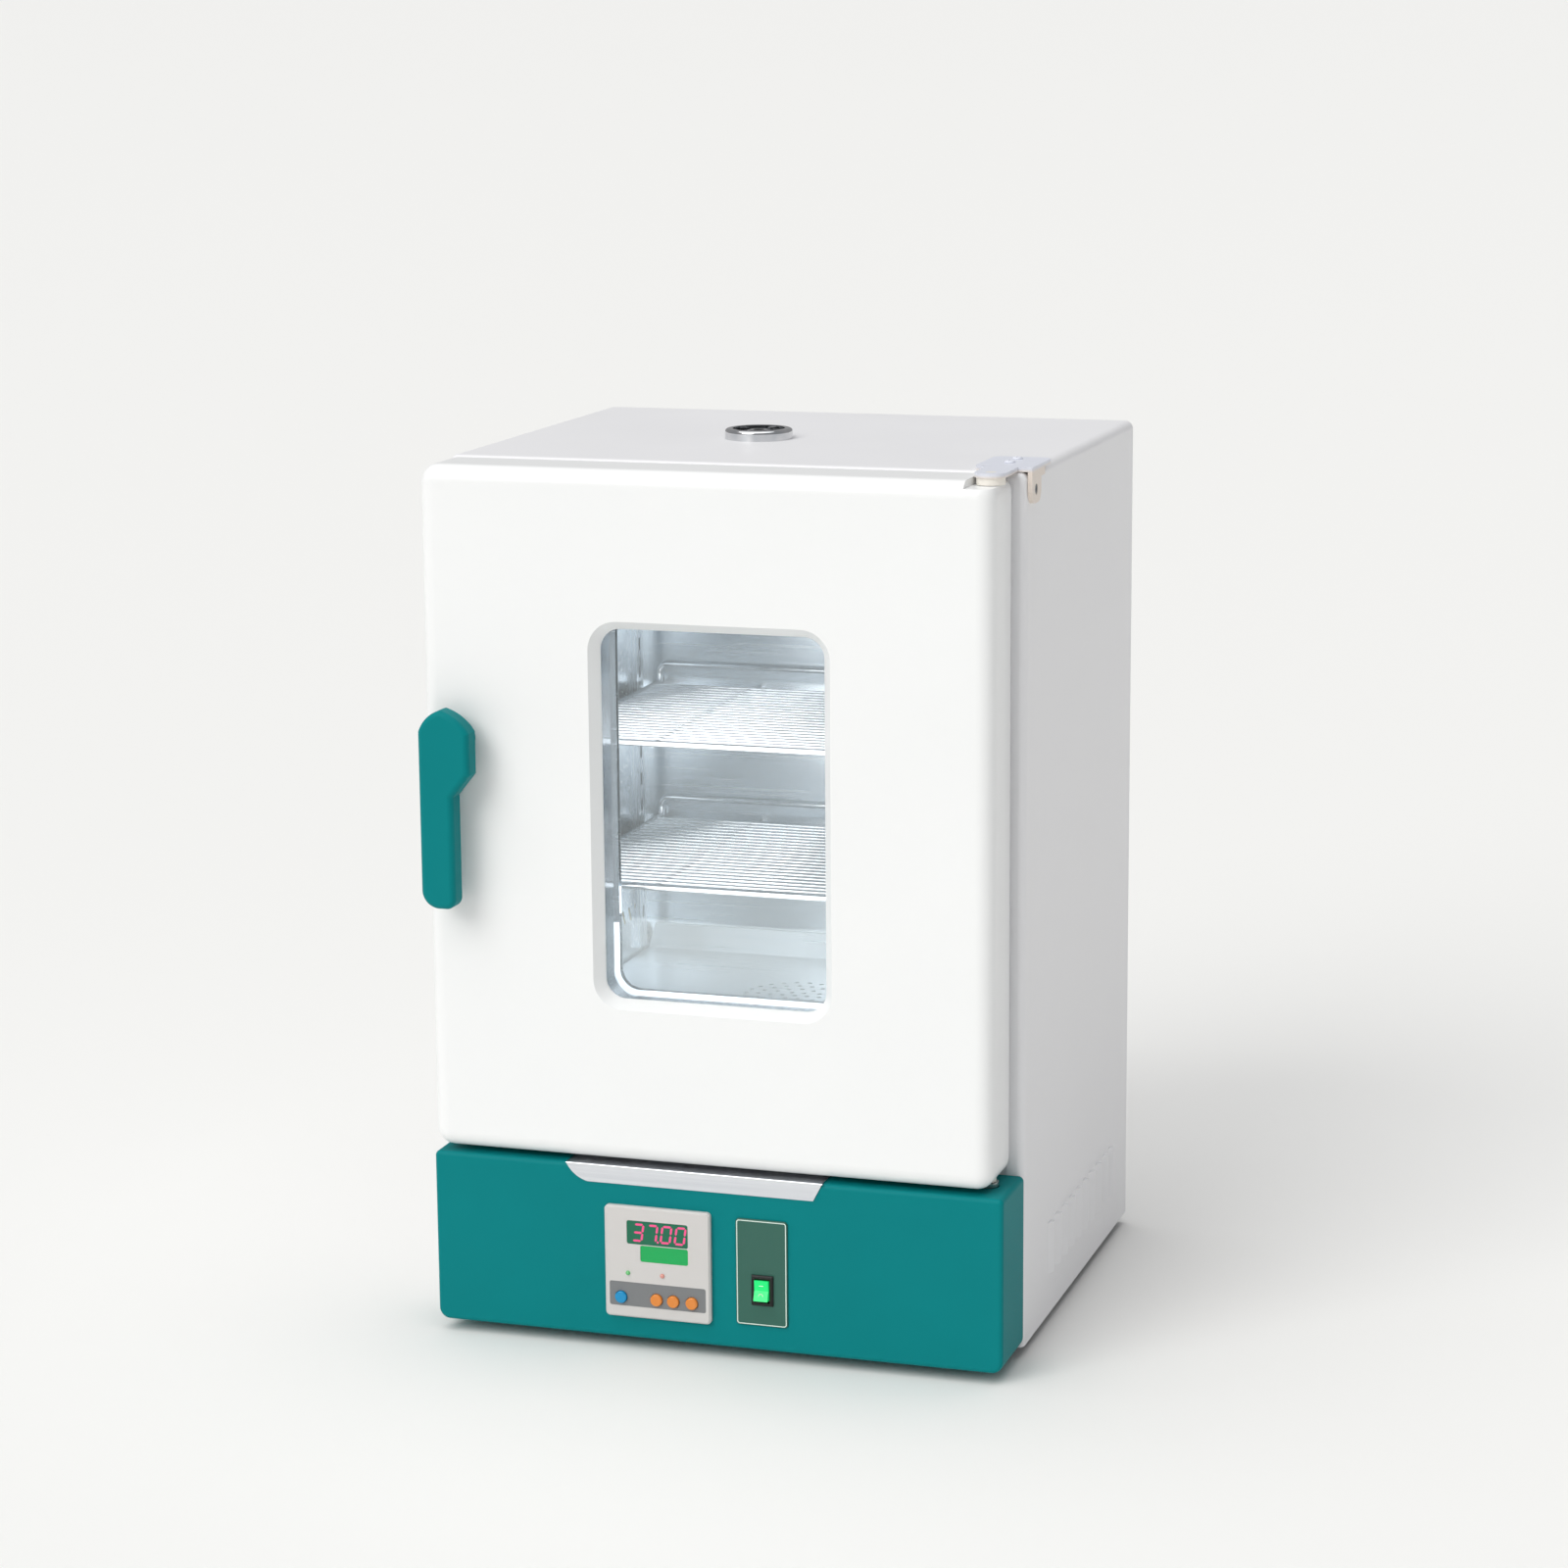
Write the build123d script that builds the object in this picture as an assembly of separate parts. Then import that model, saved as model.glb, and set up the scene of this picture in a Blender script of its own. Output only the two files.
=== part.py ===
from build123d import *
import math
import os

# A small laboratory incubator. +X is the right side seen from the front, +Y the
# back and +Z up. The origin is under the middle of the whole object, on the bench.

# Cabinet
body_w = 400.0
body_h = 590.0
case_d = 309.0
shell_t = 1.2
fold_w = 12.0
wrap_bend_r = 6.0
wrap_front_r = 5.0
foot_h = 8.0
foot_r = 12.0
foot_inset = 34.0
sheet_gap = 0.3

# Base with the controls
fascia_h = 120.0
fascia_t = 3.0
fascia_corner_r = 8.0
fascia_edge_r = 3.0
fascia_under_door = 3.5
louvre_count = 10
louvre_h = 36.0
louvre_w = 9.0
louvre_out = 3.0
louvre_z = 30.0
louvre_front = 68.0
louvre_back = 61.0

# Chamber
chamber_top = 60.0
chamber_back = 56.6
chamber_floor = 77.0
chamber_r = 8.0
heater_space = 25.0
liner_t = 0.8
liner_lip = 14.0
partition_up = 8.0
latch_pocket = 18.0

# Floor plate, heater and probe
floor_hole_r = 2.0
floor_hole_pitch = 9.0
floor_hole_rings = 5
floor_rise = 15.0
heater_r = 4.0
heater_rows = 4
heater_front = 70.0
heater_back = 48.0
heater_side = 40.0
probe_r = 2.0
probe_reach = 42.0
probe_in = 60.0
probe_down = 103.0

# Shelves and racks
shelf_levels = (98.0, 198.0)
shelf_front = 20.0
shelf_back = 4.0
shelf_side_gap = 6.0
frame_rod_r = 2.0
wire_r = 1.0
wire_pitch = 9.5
brace_r = 1.5
brace_x = 65.0
stop_h = 14.0
upright_w = 14.0
upright_out = 4.0
upright_t = 1.0
slot_pitch = 20.0
slot_h = 9.0
slot_w = 3.2
rail_w = 9.0
rail_t = 1.2

# Vent on the top
vent_x = -27.0
vent_y = 143.0
vent_r = 23.5
vent_h = 7.0
vent_bore_r = 18.0
duct_t = 0.8
damper_t = 2.0
damper_hub_r = 6.5
thermometer_r = 4.0
vent_sectors = 3
turning_fit = 0.06

# Door
door_t = 52.0
seal_gap = 2.7
door_inset = 8.0
door_edge_r = 11.0
door_corner_r = 12.0
door_back_r = 6.0
door_return = 8.0
window_w = 154.0
window_above = 105.0
window_below = 111.5
window_x = 1.0
window_r = 14.0
bevel_w = 6.0
bevel_d = 8.0
glass_t = 4.0
glass_lap = 10.0
seal_bead = 2.4
gasket_w = 9.0
gasket_off = 3.0
gasket_gap = 1.0
gasket_round = 2.2
rest_gap = 0.3

# Hinges
hinge_in = 17.0
hinge_back = 29.0
hinge_pin_r = 3.5
knuckle_r = 9.5
notch_r = 11.0
notch_h = 5.0
bracket_t = 3.0
bracket_nose_r = 10.5
bracket_in = 36.0
bracket_d = 58.0
wing_drop = 21.0
wing_w = 34.0
wing_toe = 24.0
wing_in = 2.5
wing_screw = 11.0
bush_t = 1.4
bush_l = 16.0
block_w = 24.0
block_h = 22.0

# Latch
handle_out = 28.0
handle_in = 25.0
handle_up = 49.0
lever_t = 14.0
lever_w = 36.0
stem_w = 24.0
lever_top = 22.0
lever_drop = 112.5
lever_edge_r = 4.0
hub_r = 11.0
escutcheon_r = 12.5
escutcheon_t = 3.0
spindle_r = 4.0
tongue_l = 26.0
tongue_w = 7.0
tongue_t = 4.0
strike_w = 24.0
strike_h = 56.0
strike_t = 1.5
strike_slot_w = 11.0
strike_slot_h = 31.0

# Controller
control_x = -38.5
control_z = 55.0
control_w = 75.0
control_h = 78.0
control_out = 4.0
control_d = 62.0
control_lap = 3.5
display_up = (21.3, 43.5, 16.6)
display_low = (6.8, 34.0, 11.5)
display_right = 22.0
band_w = 68.5
band_h = 17.0
band_z = -22.5
band_t = 1.0
button_r = 4.2
button_out = 1.6
button_travel = 1.0
button_fit = 0.3
button_low = -25.0
button_xs = (-26.1, -0.8, 11.1, 24.3)
lamp_r = 1.6
lamp_up = -7.6
lamp_xs = (-20.9, 3.6)

# Switch
switch_x = 35.2
plate_w = 36.2
plate_h = 74.0
plate_z = 55.0
plate_t = 1.5
rocker_z = 43.3
bezel_w = 15.0
bezel_h = 21.0
bezel_t = 2.0
bezel_wall = 1.4
rocker_play = 0.4
rocker_tilt = 9.0
trunnion_r = 1.0
switch_d = 22.0

# Drip lip
lip_x0 = -104.0
lip_x1 = 77.0
lip_taper_left = 15.4
lip_taper_right = 6.5
lip_h = 12.5
lip_t = 0.8
lip_back = 34.0

# Back and inner fittings
gland_in = 60.0
gland_z = 42.0
gland_r = 9.0
gland_bore_r = 4.0
rear_out = 14.0
screw_r = 3.6
screw_h = 1.6
sink_in = 80.0
sink_y = 150.0
sink_w = 70.0
sink_d = 60.0
sink_h = 22.0
sink_base = 4.0
sink_fins = 8
fin_t = 2.0
relay_h = 22.0
relay_margin = 7.0
terminal_in = 140.0
terminal_l = 70.0
terminal_d = 22.0
terminal_h = 18.0
terminal_base = 8.0
terminal_ways = 6

# Places that follow from the sizes
base_z = foot_h
top_z = base_z + body_h
side_x = body_w / 2
inner_x = side_x - shell_t
overall_d = handle_out + door_t + seal_gap + case_d + rear_out
door_y0 = -overall_d / 2 + handle_out
door_y1 = door_y0 + door_t
case_y0 = door_y1 + seal_gap
case_y1 = case_y0 + case_d
frame_y0 = case_y0 + shell_t
frame_y1 = frame_y0 + shell_t
fascia_z1 = base_z + fascia_h
door_z0 = fascia_z1 + fascia_under_door
door_x0 = -side_x
door_x1 = side_x - door_inset
floor_z = fascia_z1 + chamber_floor
liner_z0 = floor_z - heater_space
liner_z1 = top_z - chamber_top
liner_x = side_x - handle_in - strike_w / 2 - gasket_gap - gasket_w - gasket_off
rear_wall_y = case_y1 - chamber_back
partition_z = fascia_z1 + partition_up
louvre_pitch = (case_d - louvre_front - louvre_back) / (louvre_count - 1)
heater_row_pitch = (rear_wall_y - frame_y1 - heater_front - heater_back) / (heater_rows - 1)
hinge_x = side_x - hinge_in
hinge_y = door_y0 + hinge_back
notch_z = top_z - notch_h
vent_cy = case_y0 + vent_y
window_z0 = door_z0 + window_below
window_z1 = top_z - window_above
window_h = window_z1 - window_z0
win_z = (window_z0 + window_z1) / 2
glass_w = window_w + 2 * glass_lap
glass_h = window_h + 2 * glass_lap
glass_y0 = door_y0 + bevel_d + shell_t
lever_cx = -side_x + handle_in
lever_cz = win_z + handle_up
lever_y0 = door_y0 - handle_out
lever_y1 = lever_y0 + lever_t
control_cz = base_z + control_z
rocker_cz = base_z + rocker_z
gasket_in_x = liner_x + gasket_off
gasket_in_z0 = liner_z0 - gasket_off
gasket_in_z1 = liner_z1 + gasket_off
shelf_w = 2 * (liner_x - upright_out - shelf_side_gap)
shelf_y1 = rear_wall_y - shelf_back
shelf_y0 = frame_y1 + shelf_front
shelf_d = shelf_y1 - shelf_y0
gland_x = side_x - gland_in


def block(x0, x1, y0, y1, z0, z1):
    """A box between three pairs of limits."""
    return Pos((x0 + x1) / 2, (y0 + y1) / 2, (z0 + z1) / 2) * Box(x1 - x0, y1 - y0, z1 - z0)


def rod_x(x0, x1, y, z, r):
    return Pos((x0 + x1) / 2, y, z) * Rot(0, 90, 0) * Cylinder(r, x1 - x0)


def rod_y(x, y0, y1, z, r):
    return Pos(x, (y0 + y1) / 2, z) * Rot(90, 0, 0) * Cylinder(r, y1 - y0)


def rod_z(x, y, z0, z1, r):
    return Pos(x, y, (z0 + z1) / 2) * Cylinder(r, z1 - z0)


def rounded(x0, x1, y0, y1, z0, z1, axis, r):
    """A box whose four edges along one axis are rounded."""
    solid = block(x0, x1, y0, y1, z0, z1)
    return fillet(solid.edges().filter_by(axis), r)


def window_block(w, h, y0, y1, r):
    """An upright rounded slab centred on the window."""
    x0 = window_x - w / 2
    z0 = win_z - h / 2
    return rounded(x0, x0 + w, y0, y1, z0, z0 + h, Axis.Y, r)


def front_slab(outline, y0, y1):
    """An outline drawn in X and Z, given thickness from y0 back to y1."""
    plane = Plane(origin=(0, y1, 0), x_dir=(1, 0, 0), z_dir=(0, -1, 0))
    return extrude(plane * outline, y1 - y0)


# Cabinet shell

def side_louvre(side, y, z):
    """One pressed scoop: the solid hood and the hollow behind it."""
    x_face = side * side_x
    x_out = side * (side_x + louvre_out)
    x_in = side * (side_x - shell_t)
    rise = Plane(origin=(0, 0, z), x_dir=(1, 0, 0), z_dir=(0, 0, 1))
    lean = louvre_w - 2.0
    y1 = y + louvre_w
    hood_line = Polyline((x_in, y), (x_face, y), (x_out, y + lean), (x_out, y1), (x_in, y1), close=True)
    hood = extrude(rise * make_face(hood_line), louvre_h)
    x_low = side * (side_x + louvre_out - shell_t)
    x_deep = side * (side_x - 2 * shell_t)
    y0 = y + 1.4 * shell_t
    hole_line = Polyline((x_deep, y0), (x_face, y0), (x_low, y + lean), (x_low, y1 + 1.0),
                         (x_face, y1 + 1.0), (x_face, y1), (x_deep, y1), close=True)
    low = Plane(origin=(0, 0, z + shell_t), x_dir=(1, 0, 0), z_dir=(0, 0, 1))
    hole = extrude(low * make_face(hole_line), louvre_h - 2 * shell_t)
    return hood, hole


def wrap_form(x, y0, y1, z0, z1, inset):
    """The cabinet's outline with its bends, on the outer or inner side of the sheet."""
    form = block(-x, x, y0, y1, z0, z1)
    form = fillet(form.edges().filter_by(Axis.Y).group_by(Axis.Z)[-1], wrap_bend_r - inset)
    front = [e for e in form.edges().group_by(Axis.Y)[0] if e.center().Z > z0 + 1]
    return fillet(front, wrap_front_r - inset)


def outer_wrap():
    """Both sides and the top from one folded sheet, with its front fold."""
    sheet = wrap_form(side_x, case_y0, case_y1, base_z, top_z, 0)
    room = wrap_form(inner_x, case_y0 + shell_t, case_y1 + 1, base_z - 1, top_z - shell_t, shell_t)
    mouth = block(-side_x + fold_w, side_x - fold_w, case_y0 - 1, frame_y0 + 1, base_z - 1, top_z - fold_w)
    sheet -= room
    sheet -= mouth
    sheet -= rod_z(vent_x, vent_cy, top_z - 5, top_z + 5, vent_bore_r + duct_t + sheet_gap)
    hoods = []
    holes = []
    for side in (-1, 1):
        for i in range(louvre_count):
            y = case_y0 + louvre_front + i * louvre_pitch
            hood, hole = side_louvre(side, y, base_z + louvre_z)
            hoods.append(hood)
            holes.append(hole)
    return (sheet + hoods) - holes


def back_panel():
    """A flanged sheet closing the back, with slots over the base."""
    x = inner_x - sheet_gap
    z1 = top_z - shell_t - sheet_gap
    panel = block(-x, x, case_y1 - fold_w, case_y1, base_z + shell_t + sheet_gap, z1)
    panel = fillet(panel.edges().filter_by(Axis.Y).group_by(Axis.Z)[-1], wrap_bend_r - shell_t)
    low = base_z + 2 * shell_t + sheet_gap
    room = block(-x + shell_t, x - shell_t, case_y1 - fold_w - 1, case_y1 - shell_t, low, z1 - shell_t)
    room = fillet(room.edges().filter_by(Axis.Y).group_by(Axis.Z)[-1], wrap_bend_r - shell_t)
    panel -= room
    panel -= rod_y(gland_x, case_y1 - fold_w - 1, case_y1 + 1, base_z + gland_z, gland_r)
    slots = []
    for i in range(-5, 4):
        slot = rounded(-2.5, 2.5, case_y1 - 4, case_y1 + 1, base_z + 34, base_z + 74, Axis.Y, 2.4)
        slots.append(Pos(18.0 * i, 0, 0) * slot)
    return panel - slots


def base_pan():
    """The bottom sheet with upturned edges, inside the wrap."""
    x = inner_x - sheet_gap
    y1 = case_y1
    y0 = case_y0 + wrap_front_r
    pan = block(-x, x, y0, y1 - fold_w - 2, base_z, base_z + fold_w + 4)
    pan -= block(-x + shell_t, x - shell_t, y0 + shell_t, y1 - fold_w - 2 - shell_t,
                 base_z + shell_t, base_z + 30)
    tail = block(-x, x, y1 - fold_w - 2 - shell_t, y1 - sheet_gap, base_z, base_z + shell_t)
    pan += tail
    holes = [rod_z(fx, fy, base_z - 1, base_z + 3, 2.6) for fx, fy in foot_places()]
    return pan - holes


def foot_places():
    y0 = case_y0 + foot_inset
    y1 = case_y1 - foot_inset
    x = side_x - foot_inset
    return [(-x, y0), (x, y0), (-x, y1), (x, y1)]


def rubber_feet():
    """Four tapered rubber feet with a recess for their screw."""
    feet = []
    for fx, fy in foot_places():
        foot = Pos(fx, fy, 0) * extrude(Circle(foot_r - 1.5), foot_h, taper=-10)
        foot -= rod_z(fx, fy, -1, 3.5, 5.5)
        foot -= rod_z(fx, fy, 0, foot_h + 1, 2.6)
        feet.append(foot)
    return feet


def foot_screws():
    screws = []
    for fx, fy in foot_places():
        screw = rod_z(fx, fy, 1.2, 3.5, 4.6) + rod_z(fx, fy, 3.5, base_z + shell_t + 6, 2.4)
        nut = Pos(fx, fy, base_z + shell_t) * extrude(RegularPolygon(4.6, 6), 3.6)
        screws.append(screw + nut)
    return screws


def front_frame():
    """The flat front of the cabinet, behind the door and the fascia."""
    x = side_x - wrap_front_r - sheet_gap
    z1 = top_z - wrap_front_r - sheet_gap
    frame = block(-x, x, frame_y0, frame_y1, base_z + sheet_gap, z1)
    frame -= rounded(-liner_x, liner_x, frame_y0 - 1, frame_y1 + 1, liner_z0, liner_z1, Axis.Y, chamber_r)
    bay = block(-side_x + 50, side_x - 50, frame_y0 - 1, frame_y1 + 1, base_z + 8, base_z + fascia_h - 14)
    frame -= bay
    frame -= strike_slot(frame_y0 - 1, frame_y1 + 1, 1.0)
    return frame


def strike_slot(y0, y1, grow):
    w = strike_slot_w / 2 + grow
    h = strike_slot_h / 2 + grow
    return rounded(lever_cx - w, lever_cx + w, y0, y1, lever_cz - h, lever_cz + h, Axis.Y, w - 0.5)


def strike_plate():
    """The keeper for the latch tongue, screwed on the frame."""
    x0 = lever_cx - strike_w / 2
    z0 = lever_cz - strike_h / 2
    plate = rounded(x0, x0 + strike_w, frame_y0 - strike_t, frame_y0, z0, z0 + strike_h, Axis.Y, 4)
    plate -= strike_slot(frame_y0 - strike_t - 1, frame_y0 + 1, 0)
    y = frame_y0 - strike_t
    screws = [rod_y(lever_cx, y - screw_h, y, lever_cz + z, screw_r) for z in (-22.5, 22.5)]
    return plate + screws


def partition_plate():
    """The sheet between the insulation and the base compartment."""
    x = inner_x - sheet_gap
    y1 = case_y1 - fold_w - sheet_gap
    y0 = case_y0 + wrap_front_r
    plate = block(-x, x, y0, y1, partition_z - fold_w, partition_z)
    plate -= block(-x + shell_t, x - shell_t, y0 + shell_t, y1 - shell_t,
                   partition_z - fold_w - 1, partition_z - shell_t)
    for hx, hy in heater_legs():
        plate -= rod_z(hx, hy, partition_z - 5, partition_z + 1, heater_r + 3.0)
    return plate


# Chamber

def chamber_liner():
    """The stainless box with an open front and a lip behind the frame."""
    outer = rounded(-liner_x - liner_t, liner_x + liner_t, frame_y1, rear_wall_y + liner_t,
                    liner_z0 - liner_t, liner_z1 + liner_t, Axis.Y, chamber_r + liner_t)
    room = rounded(-liner_x, liner_x, frame_y1 - 1, rear_wall_y, liner_z0, liner_z1, Axis.Y, chamber_r)
    lip = rounded(-liner_x - liner_lip, liner_x + liner_lip, frame_y1, frame_y1 + liner_t,
                  liner_z0 - liner_lip, liner_z1 + liner_lip, Axis.Y, chamber_r)
    lip -= strike_slot(frame_y1 - 1, frame_y1 + 3, 2.0)
    liner = (outer + lip) - room
    liner -= rod_z(vent_x, vent_cy, liner_z1 - 3, liner_z1 + 5, vent_bore_r)
    liner -= rod_y(probe_place()[0], rear_wall_y - 2, rear_wall_y + 3, probe_place()[1], probe_r + 1.5)
    for hx, hy in heater_legs():
        liner -= rod_z(hx, hy, liner_z0 - 3, liner_z0 + 2, heater_r + 0.5)
    slots = []
    for i in range(6):
        y = rear_wall_y - 100.0 + 13.0 * i
        slot = rounded(-1.2, 1.2, -1.5, 1.5, -6, 6, Axis.X, 1.4)
        slots.append(Pos(-liner_x - 0.4, y, floor_z + 32) * Rot(25, 0, 0) * slot)
        slots.append(Pos(liner_x + 0.4, y, floor_z + 32) * Rot(25, 0, 0) * slot)
    return liner - slots


def insulation():
    """Blankets of glass wool round the chamber, cut clear of the latch and the vent."""
    y0 = frame_y1 + latch_pocket
    y1 = case_y1 - fold_w - 1
    z0 = partition_z + sheet_gap
    z1 = top_z - shell_t - 1
    x = liner_x + liner_t
    top = block(-x, x, y0, y1, liner_z1 + liner_t + sheet_gap, z1)
    top -= rod_z(vent_x, vent_cy, liner_z1 - 5, top_z + 5, vent_bore_r + duct_t + 0.5)
    back_y = rear_wall_y + liner_t + sheet_gap
    back = block(-x, x, back_y, y1, liner_z0 - liner_t, liner_z1 + liner_t)
    back -= rod_y(probe_place()[0], back_y - 1, back_y + 34, probe_place()[1], probe_r + 4)
    under = block(-x, x, y0, y1, z0, liner_z0 - liner_t - sheet_gap)
    for hx, hy in heater_legs():
        under -= rod_z(hx, hy, z0 - 5, liner_z0 + 5, heater_r + 2)
    left = block(-inner_x + 1, -x - sheet_gap, y0, y1, z0, z1 - wrap_bend_r)
    right = block(x + sheet_gap, inner_x - 1, y0, y1, z0, z1 - wrap_bend_r)
    return [top, back, under, left, right]


def heater_legs():
    """Where the two ends of the heating tube go down through the floor."""
    x = -liner_x + heater_side + 10
    return [(x, frame_y1 + heater_front), (x, rear_wall_y - heater_back)]


def heating_tube():
    """A metal-sheathed tube bent in hairpins, with both ends turned down."""
    z = liner_z0 + 10.0
    (lx, ly0), (_, ly1) = heater_legs()
    x1 = liner_x - heater_side
    points = [(lx, ly0, partition_z - 14)]
    points.append((lx, ly0, z))
    far = True
    for i in range(heater_rows):
        y = ly0 + i * heater_row_pitch
        if i > 0:
            points.append((x1 if far is False else lx + 24, y, z))
        if i < heater_rows - 1:
            points.append((x1 if far else lx + 24, y, z))
        far = not far
    points.append((lx, ly1, z))
    points.append((lx, ly1, partition_z - 14))
    path = FilletPolyline(*points, radius=12.0)
    section = Plane(origin=points[0], z_dir=(0, 0, 1)) * Circle(heater_r)
    return sweep(section, path=path)


def heater_clips():
    """Bent straps that hold the tube off the liner's floor."""
    z = liner_z0 + 10.0
    (lx, ly0), _ = heater_legs()
    clips = []
    for i in range(heater_rows):
        y = ly0 + i * heater_row_pitch
        for x in (lx + 60, liner_x - heater_side - 60):
            clip = block(x - 4, x + 4, y - heater_r - 2.0, y + heater_r + 2.0, liner_z0, z + heater_r + 1.6)
            clip -= rod_x(x - 5, x + 5, y, z, heater_r)
            clip -= block(x - 5, x + 5, y - heater_r, y + heater_r, liner_z0 - 1, z)
            clips.append(clip)
    return clips


def floor_plate():
    """The false floor over the heater, folded down all round and perforated."""
    x = liner_x - 1.0
    y0 = frame_y1 + 6.0
    y1 = rear_wall_y - 1.0
    plate = block(-x, x, y0, y1, liner_z0 + sheet_gap, floor_z)
    plate = fillet(plate.edges().group_by(Axis.Z)[-1], 2.5)
    plate -= block(-x + liner_t, x - liner_t, y0 + liner_t, y1 - liner_t, liner_z0 - 1, floor_z - liner_t)
    for side in (-1, 1):
        xs = sorted((side * (liner_x - chamber_r - 1), side * liner_x))
        plate -= block(xs[0], xs[1], y0 - 1, y1 + 1, liner_z0, liner_z0 + chamber_r + 0.5)
    slope_y = y1 - floor_rise
    rise = Plane(origin=(-x + 2, 0, 0), x_dir=(0, 1, 0), z_dir=(1, 0, 0))
    t = 1.2 * liner_t
    z1 = floor_z + floor_rise
    slope = Polyline((slope_y, floor_z), (y1, z1), (y1, z1 - t), (slope_y + t, floor_z), close=True)
    plate += extrude(rise * make_face(slope), 2 * x - 4)
    centre_y = (y0 + y1) / 2
    holes = []
    for ring in range(floor_hole_rings):
        count = max(1, 6 * ring)
        for i in range(count):
            a = 2 * math.pi * i / count
            hx = ring * floor_hole_pitch * math.cos(a)
            hy = centre_y + ring * floor_hole_pitch * math.sin(a)
            holes.append(Pos(hx, hy, floor_z) * extrude(RegularPolygon(floor_hole_r, 8), 4, both=True))
    return plate - holes


def probe_place():
    return (liner_x - probe_in, liner_z1 - probe_down)


def temperature_probe():
    """A closed steel tube with a flange on the rear wall."""
    px, pz = probe_place()
    probe = rod_y(px, rear_wall_y - probe_reach, rear_wall_y + 26, pz, probe_r)
    probe += Pos(px, rear_wall_y - probe_reach, pz) * Sphere(probe_r)
    return probe + rod_y(px, rear_wall_y - 3.0, rear_wall_y, pz, 7.0)


def rack(side):
    """Two slotted uprights on one side wall."""
    strips = []
    wall_x = side * liner_x
    in_x = side * (liner_x - upright_out)
    z0 = floor_z + 4.0
    z1 = liner_z1 - 12.0
    for y in rack_ys():
        xs = sorted((wall_x, in_x))
        strip = block(xs[0], xs[1], y - upright_w / 2, y + upright_w / 2, z0, z1)
        core = sorted((wall_x + side, side * (liner_x - upright_out + upright_t)))
        half = upright_w / 2 - upright_t
        strip -= block(core[0], core[1], y - half, y + half, z0 - 1, z1 + 1)
        face = sorted((in_x - side, in_x + side * 2 * upright_t))
        slots = []
        for i in range(slot_total()):
            z = slot_z(i)
            slots.append(Pos((face[0] + face[1]) / 2, y, z) * Box(face[1] - face[0], slot_w, slot_h))
        strips.append(strip - slots)
    return strips


def rack_ys():
    return [shelf_y0 + 22.0, shelf_y1 - 26.0]


def slot_total():
    return int((liner_z1 - floor_z - 40.0) / slot_pitch)


def slot_z(i):
    """Slots are set out from the lower shelf, so that its hooks meet them."""
    low = floor_z + shelf_levels[0] - frame_rod_r - rail_t - slot_h / 2
    steps = int((low - floor_z - 12.0) / slot_pitch)
    return low + (i - steps) * slot_pitch


def shelf_rails(level):
    """Left and right angle rails of one shelf, hooked in the uprights."""
    rails = []
    top = floor_z + level - frame_rod_r
    for side in (-1, 1):
        face = side * (liner_x - upright_out)
        edge = side * (liner_x - upright_out - rail_w)
        xs = sorted((face, edge))
        y0 = rack_ys()[0] - 12.0
        y1 = rack_ys()[1] + 12.0
        rail = block(xs[0], xs[1], y0, y1, top - rail_t, top)
        leg = sorted((face, side * (liner_x - upright_out - rail_t)))
        rail += block(leg[0], leg[1], y0, y1, top - 10.0, top)
        hook = sorted((face, side * (liner_x - 0.6)))
        for y in rack_ys():
            rail += block(hook[0], hook[1], y - slot_w / 2 + 0.4, y + slot_w / 2 - 0.4,
                          top - rail_t - slot_h + 1.0, top - rail_t - 1.0)
        rails.append(rail)
    return rails


def shelf(level):
    """A wire shelf: a rod frame, cross wires, two braces and a raised back stop."""
    z = floor_z + level
    hx = shelf_w / 2
    frame_line = FilletPolyline((-hx, shelf_y1, z), (-hx, shelf_y0, z), (hx, shelf_y0, z), (hx, shelf_y1, z),
                                radius=9.0)
    section = Plane(origin=(-hx, shelf_y1, z), z_dir=(0, -1, 0)) * Circle(frame_rod_r)
    ends = [Pos(x, shelf_y1, z) * Sphere(frame_rod_r) for x in (-hx, hx)]
    body = sweep(section, path=frame_line) + ends
    stop_line = FilletPolyline((-hx, shelf_y1, z), (-hx, shelf_y1, z + stop_h), (hx, shelf_y1, z + stop_h),
                               (hx, shelf_y1, z), radius=6.0)
    stop_section = Plane(origin=(-hx, shelf_y1, z), z_dir=(0, 0, 1)) * Circle(frame_rod_r)
    stop = sweep(stop_section, path=stop_line) - body
    pieces = []
    count = int((shelf_d - 14.0) / wire_pitch)
    start = (shelf_y0 + shelf_y1) / 2 - (count - 1) * wire_pitch / 2
    for i in range(count):
        y = start + i * wire_pitch
        wire = Pos(0, y, z + 0.6) * Rot(0, 90, 0) * extrude(RegularPolygon(wire_r, 6), hx - 0.4, both=True)
        pieces.append(wire)
    for x in (-brace_x, brace_x):
        bar = Pos(x, (shelf_y0 + shelf_y1) / 2, z + 0.6 - wire_r - brace_r + 0.5)
        pieces.append(bar * Rot(90, 0, 0) * extrude(RegularPolygon(brace_r, 6), shelf_d / 2, both=True))
    return [body + pieces, stop]


# Vent

def vent_duct():
    """A tube through the insulation, from the chamber to the collar."""
    duct = rod_z(vent_x, vent_cy, liner_z1 + liner_t, top_z, vent_bore_r + duct_t)
    return duct - rod_z(vent_x, vent_cy, liner_z1 - 1, top_z + 1, vent_bore_r)


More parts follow.
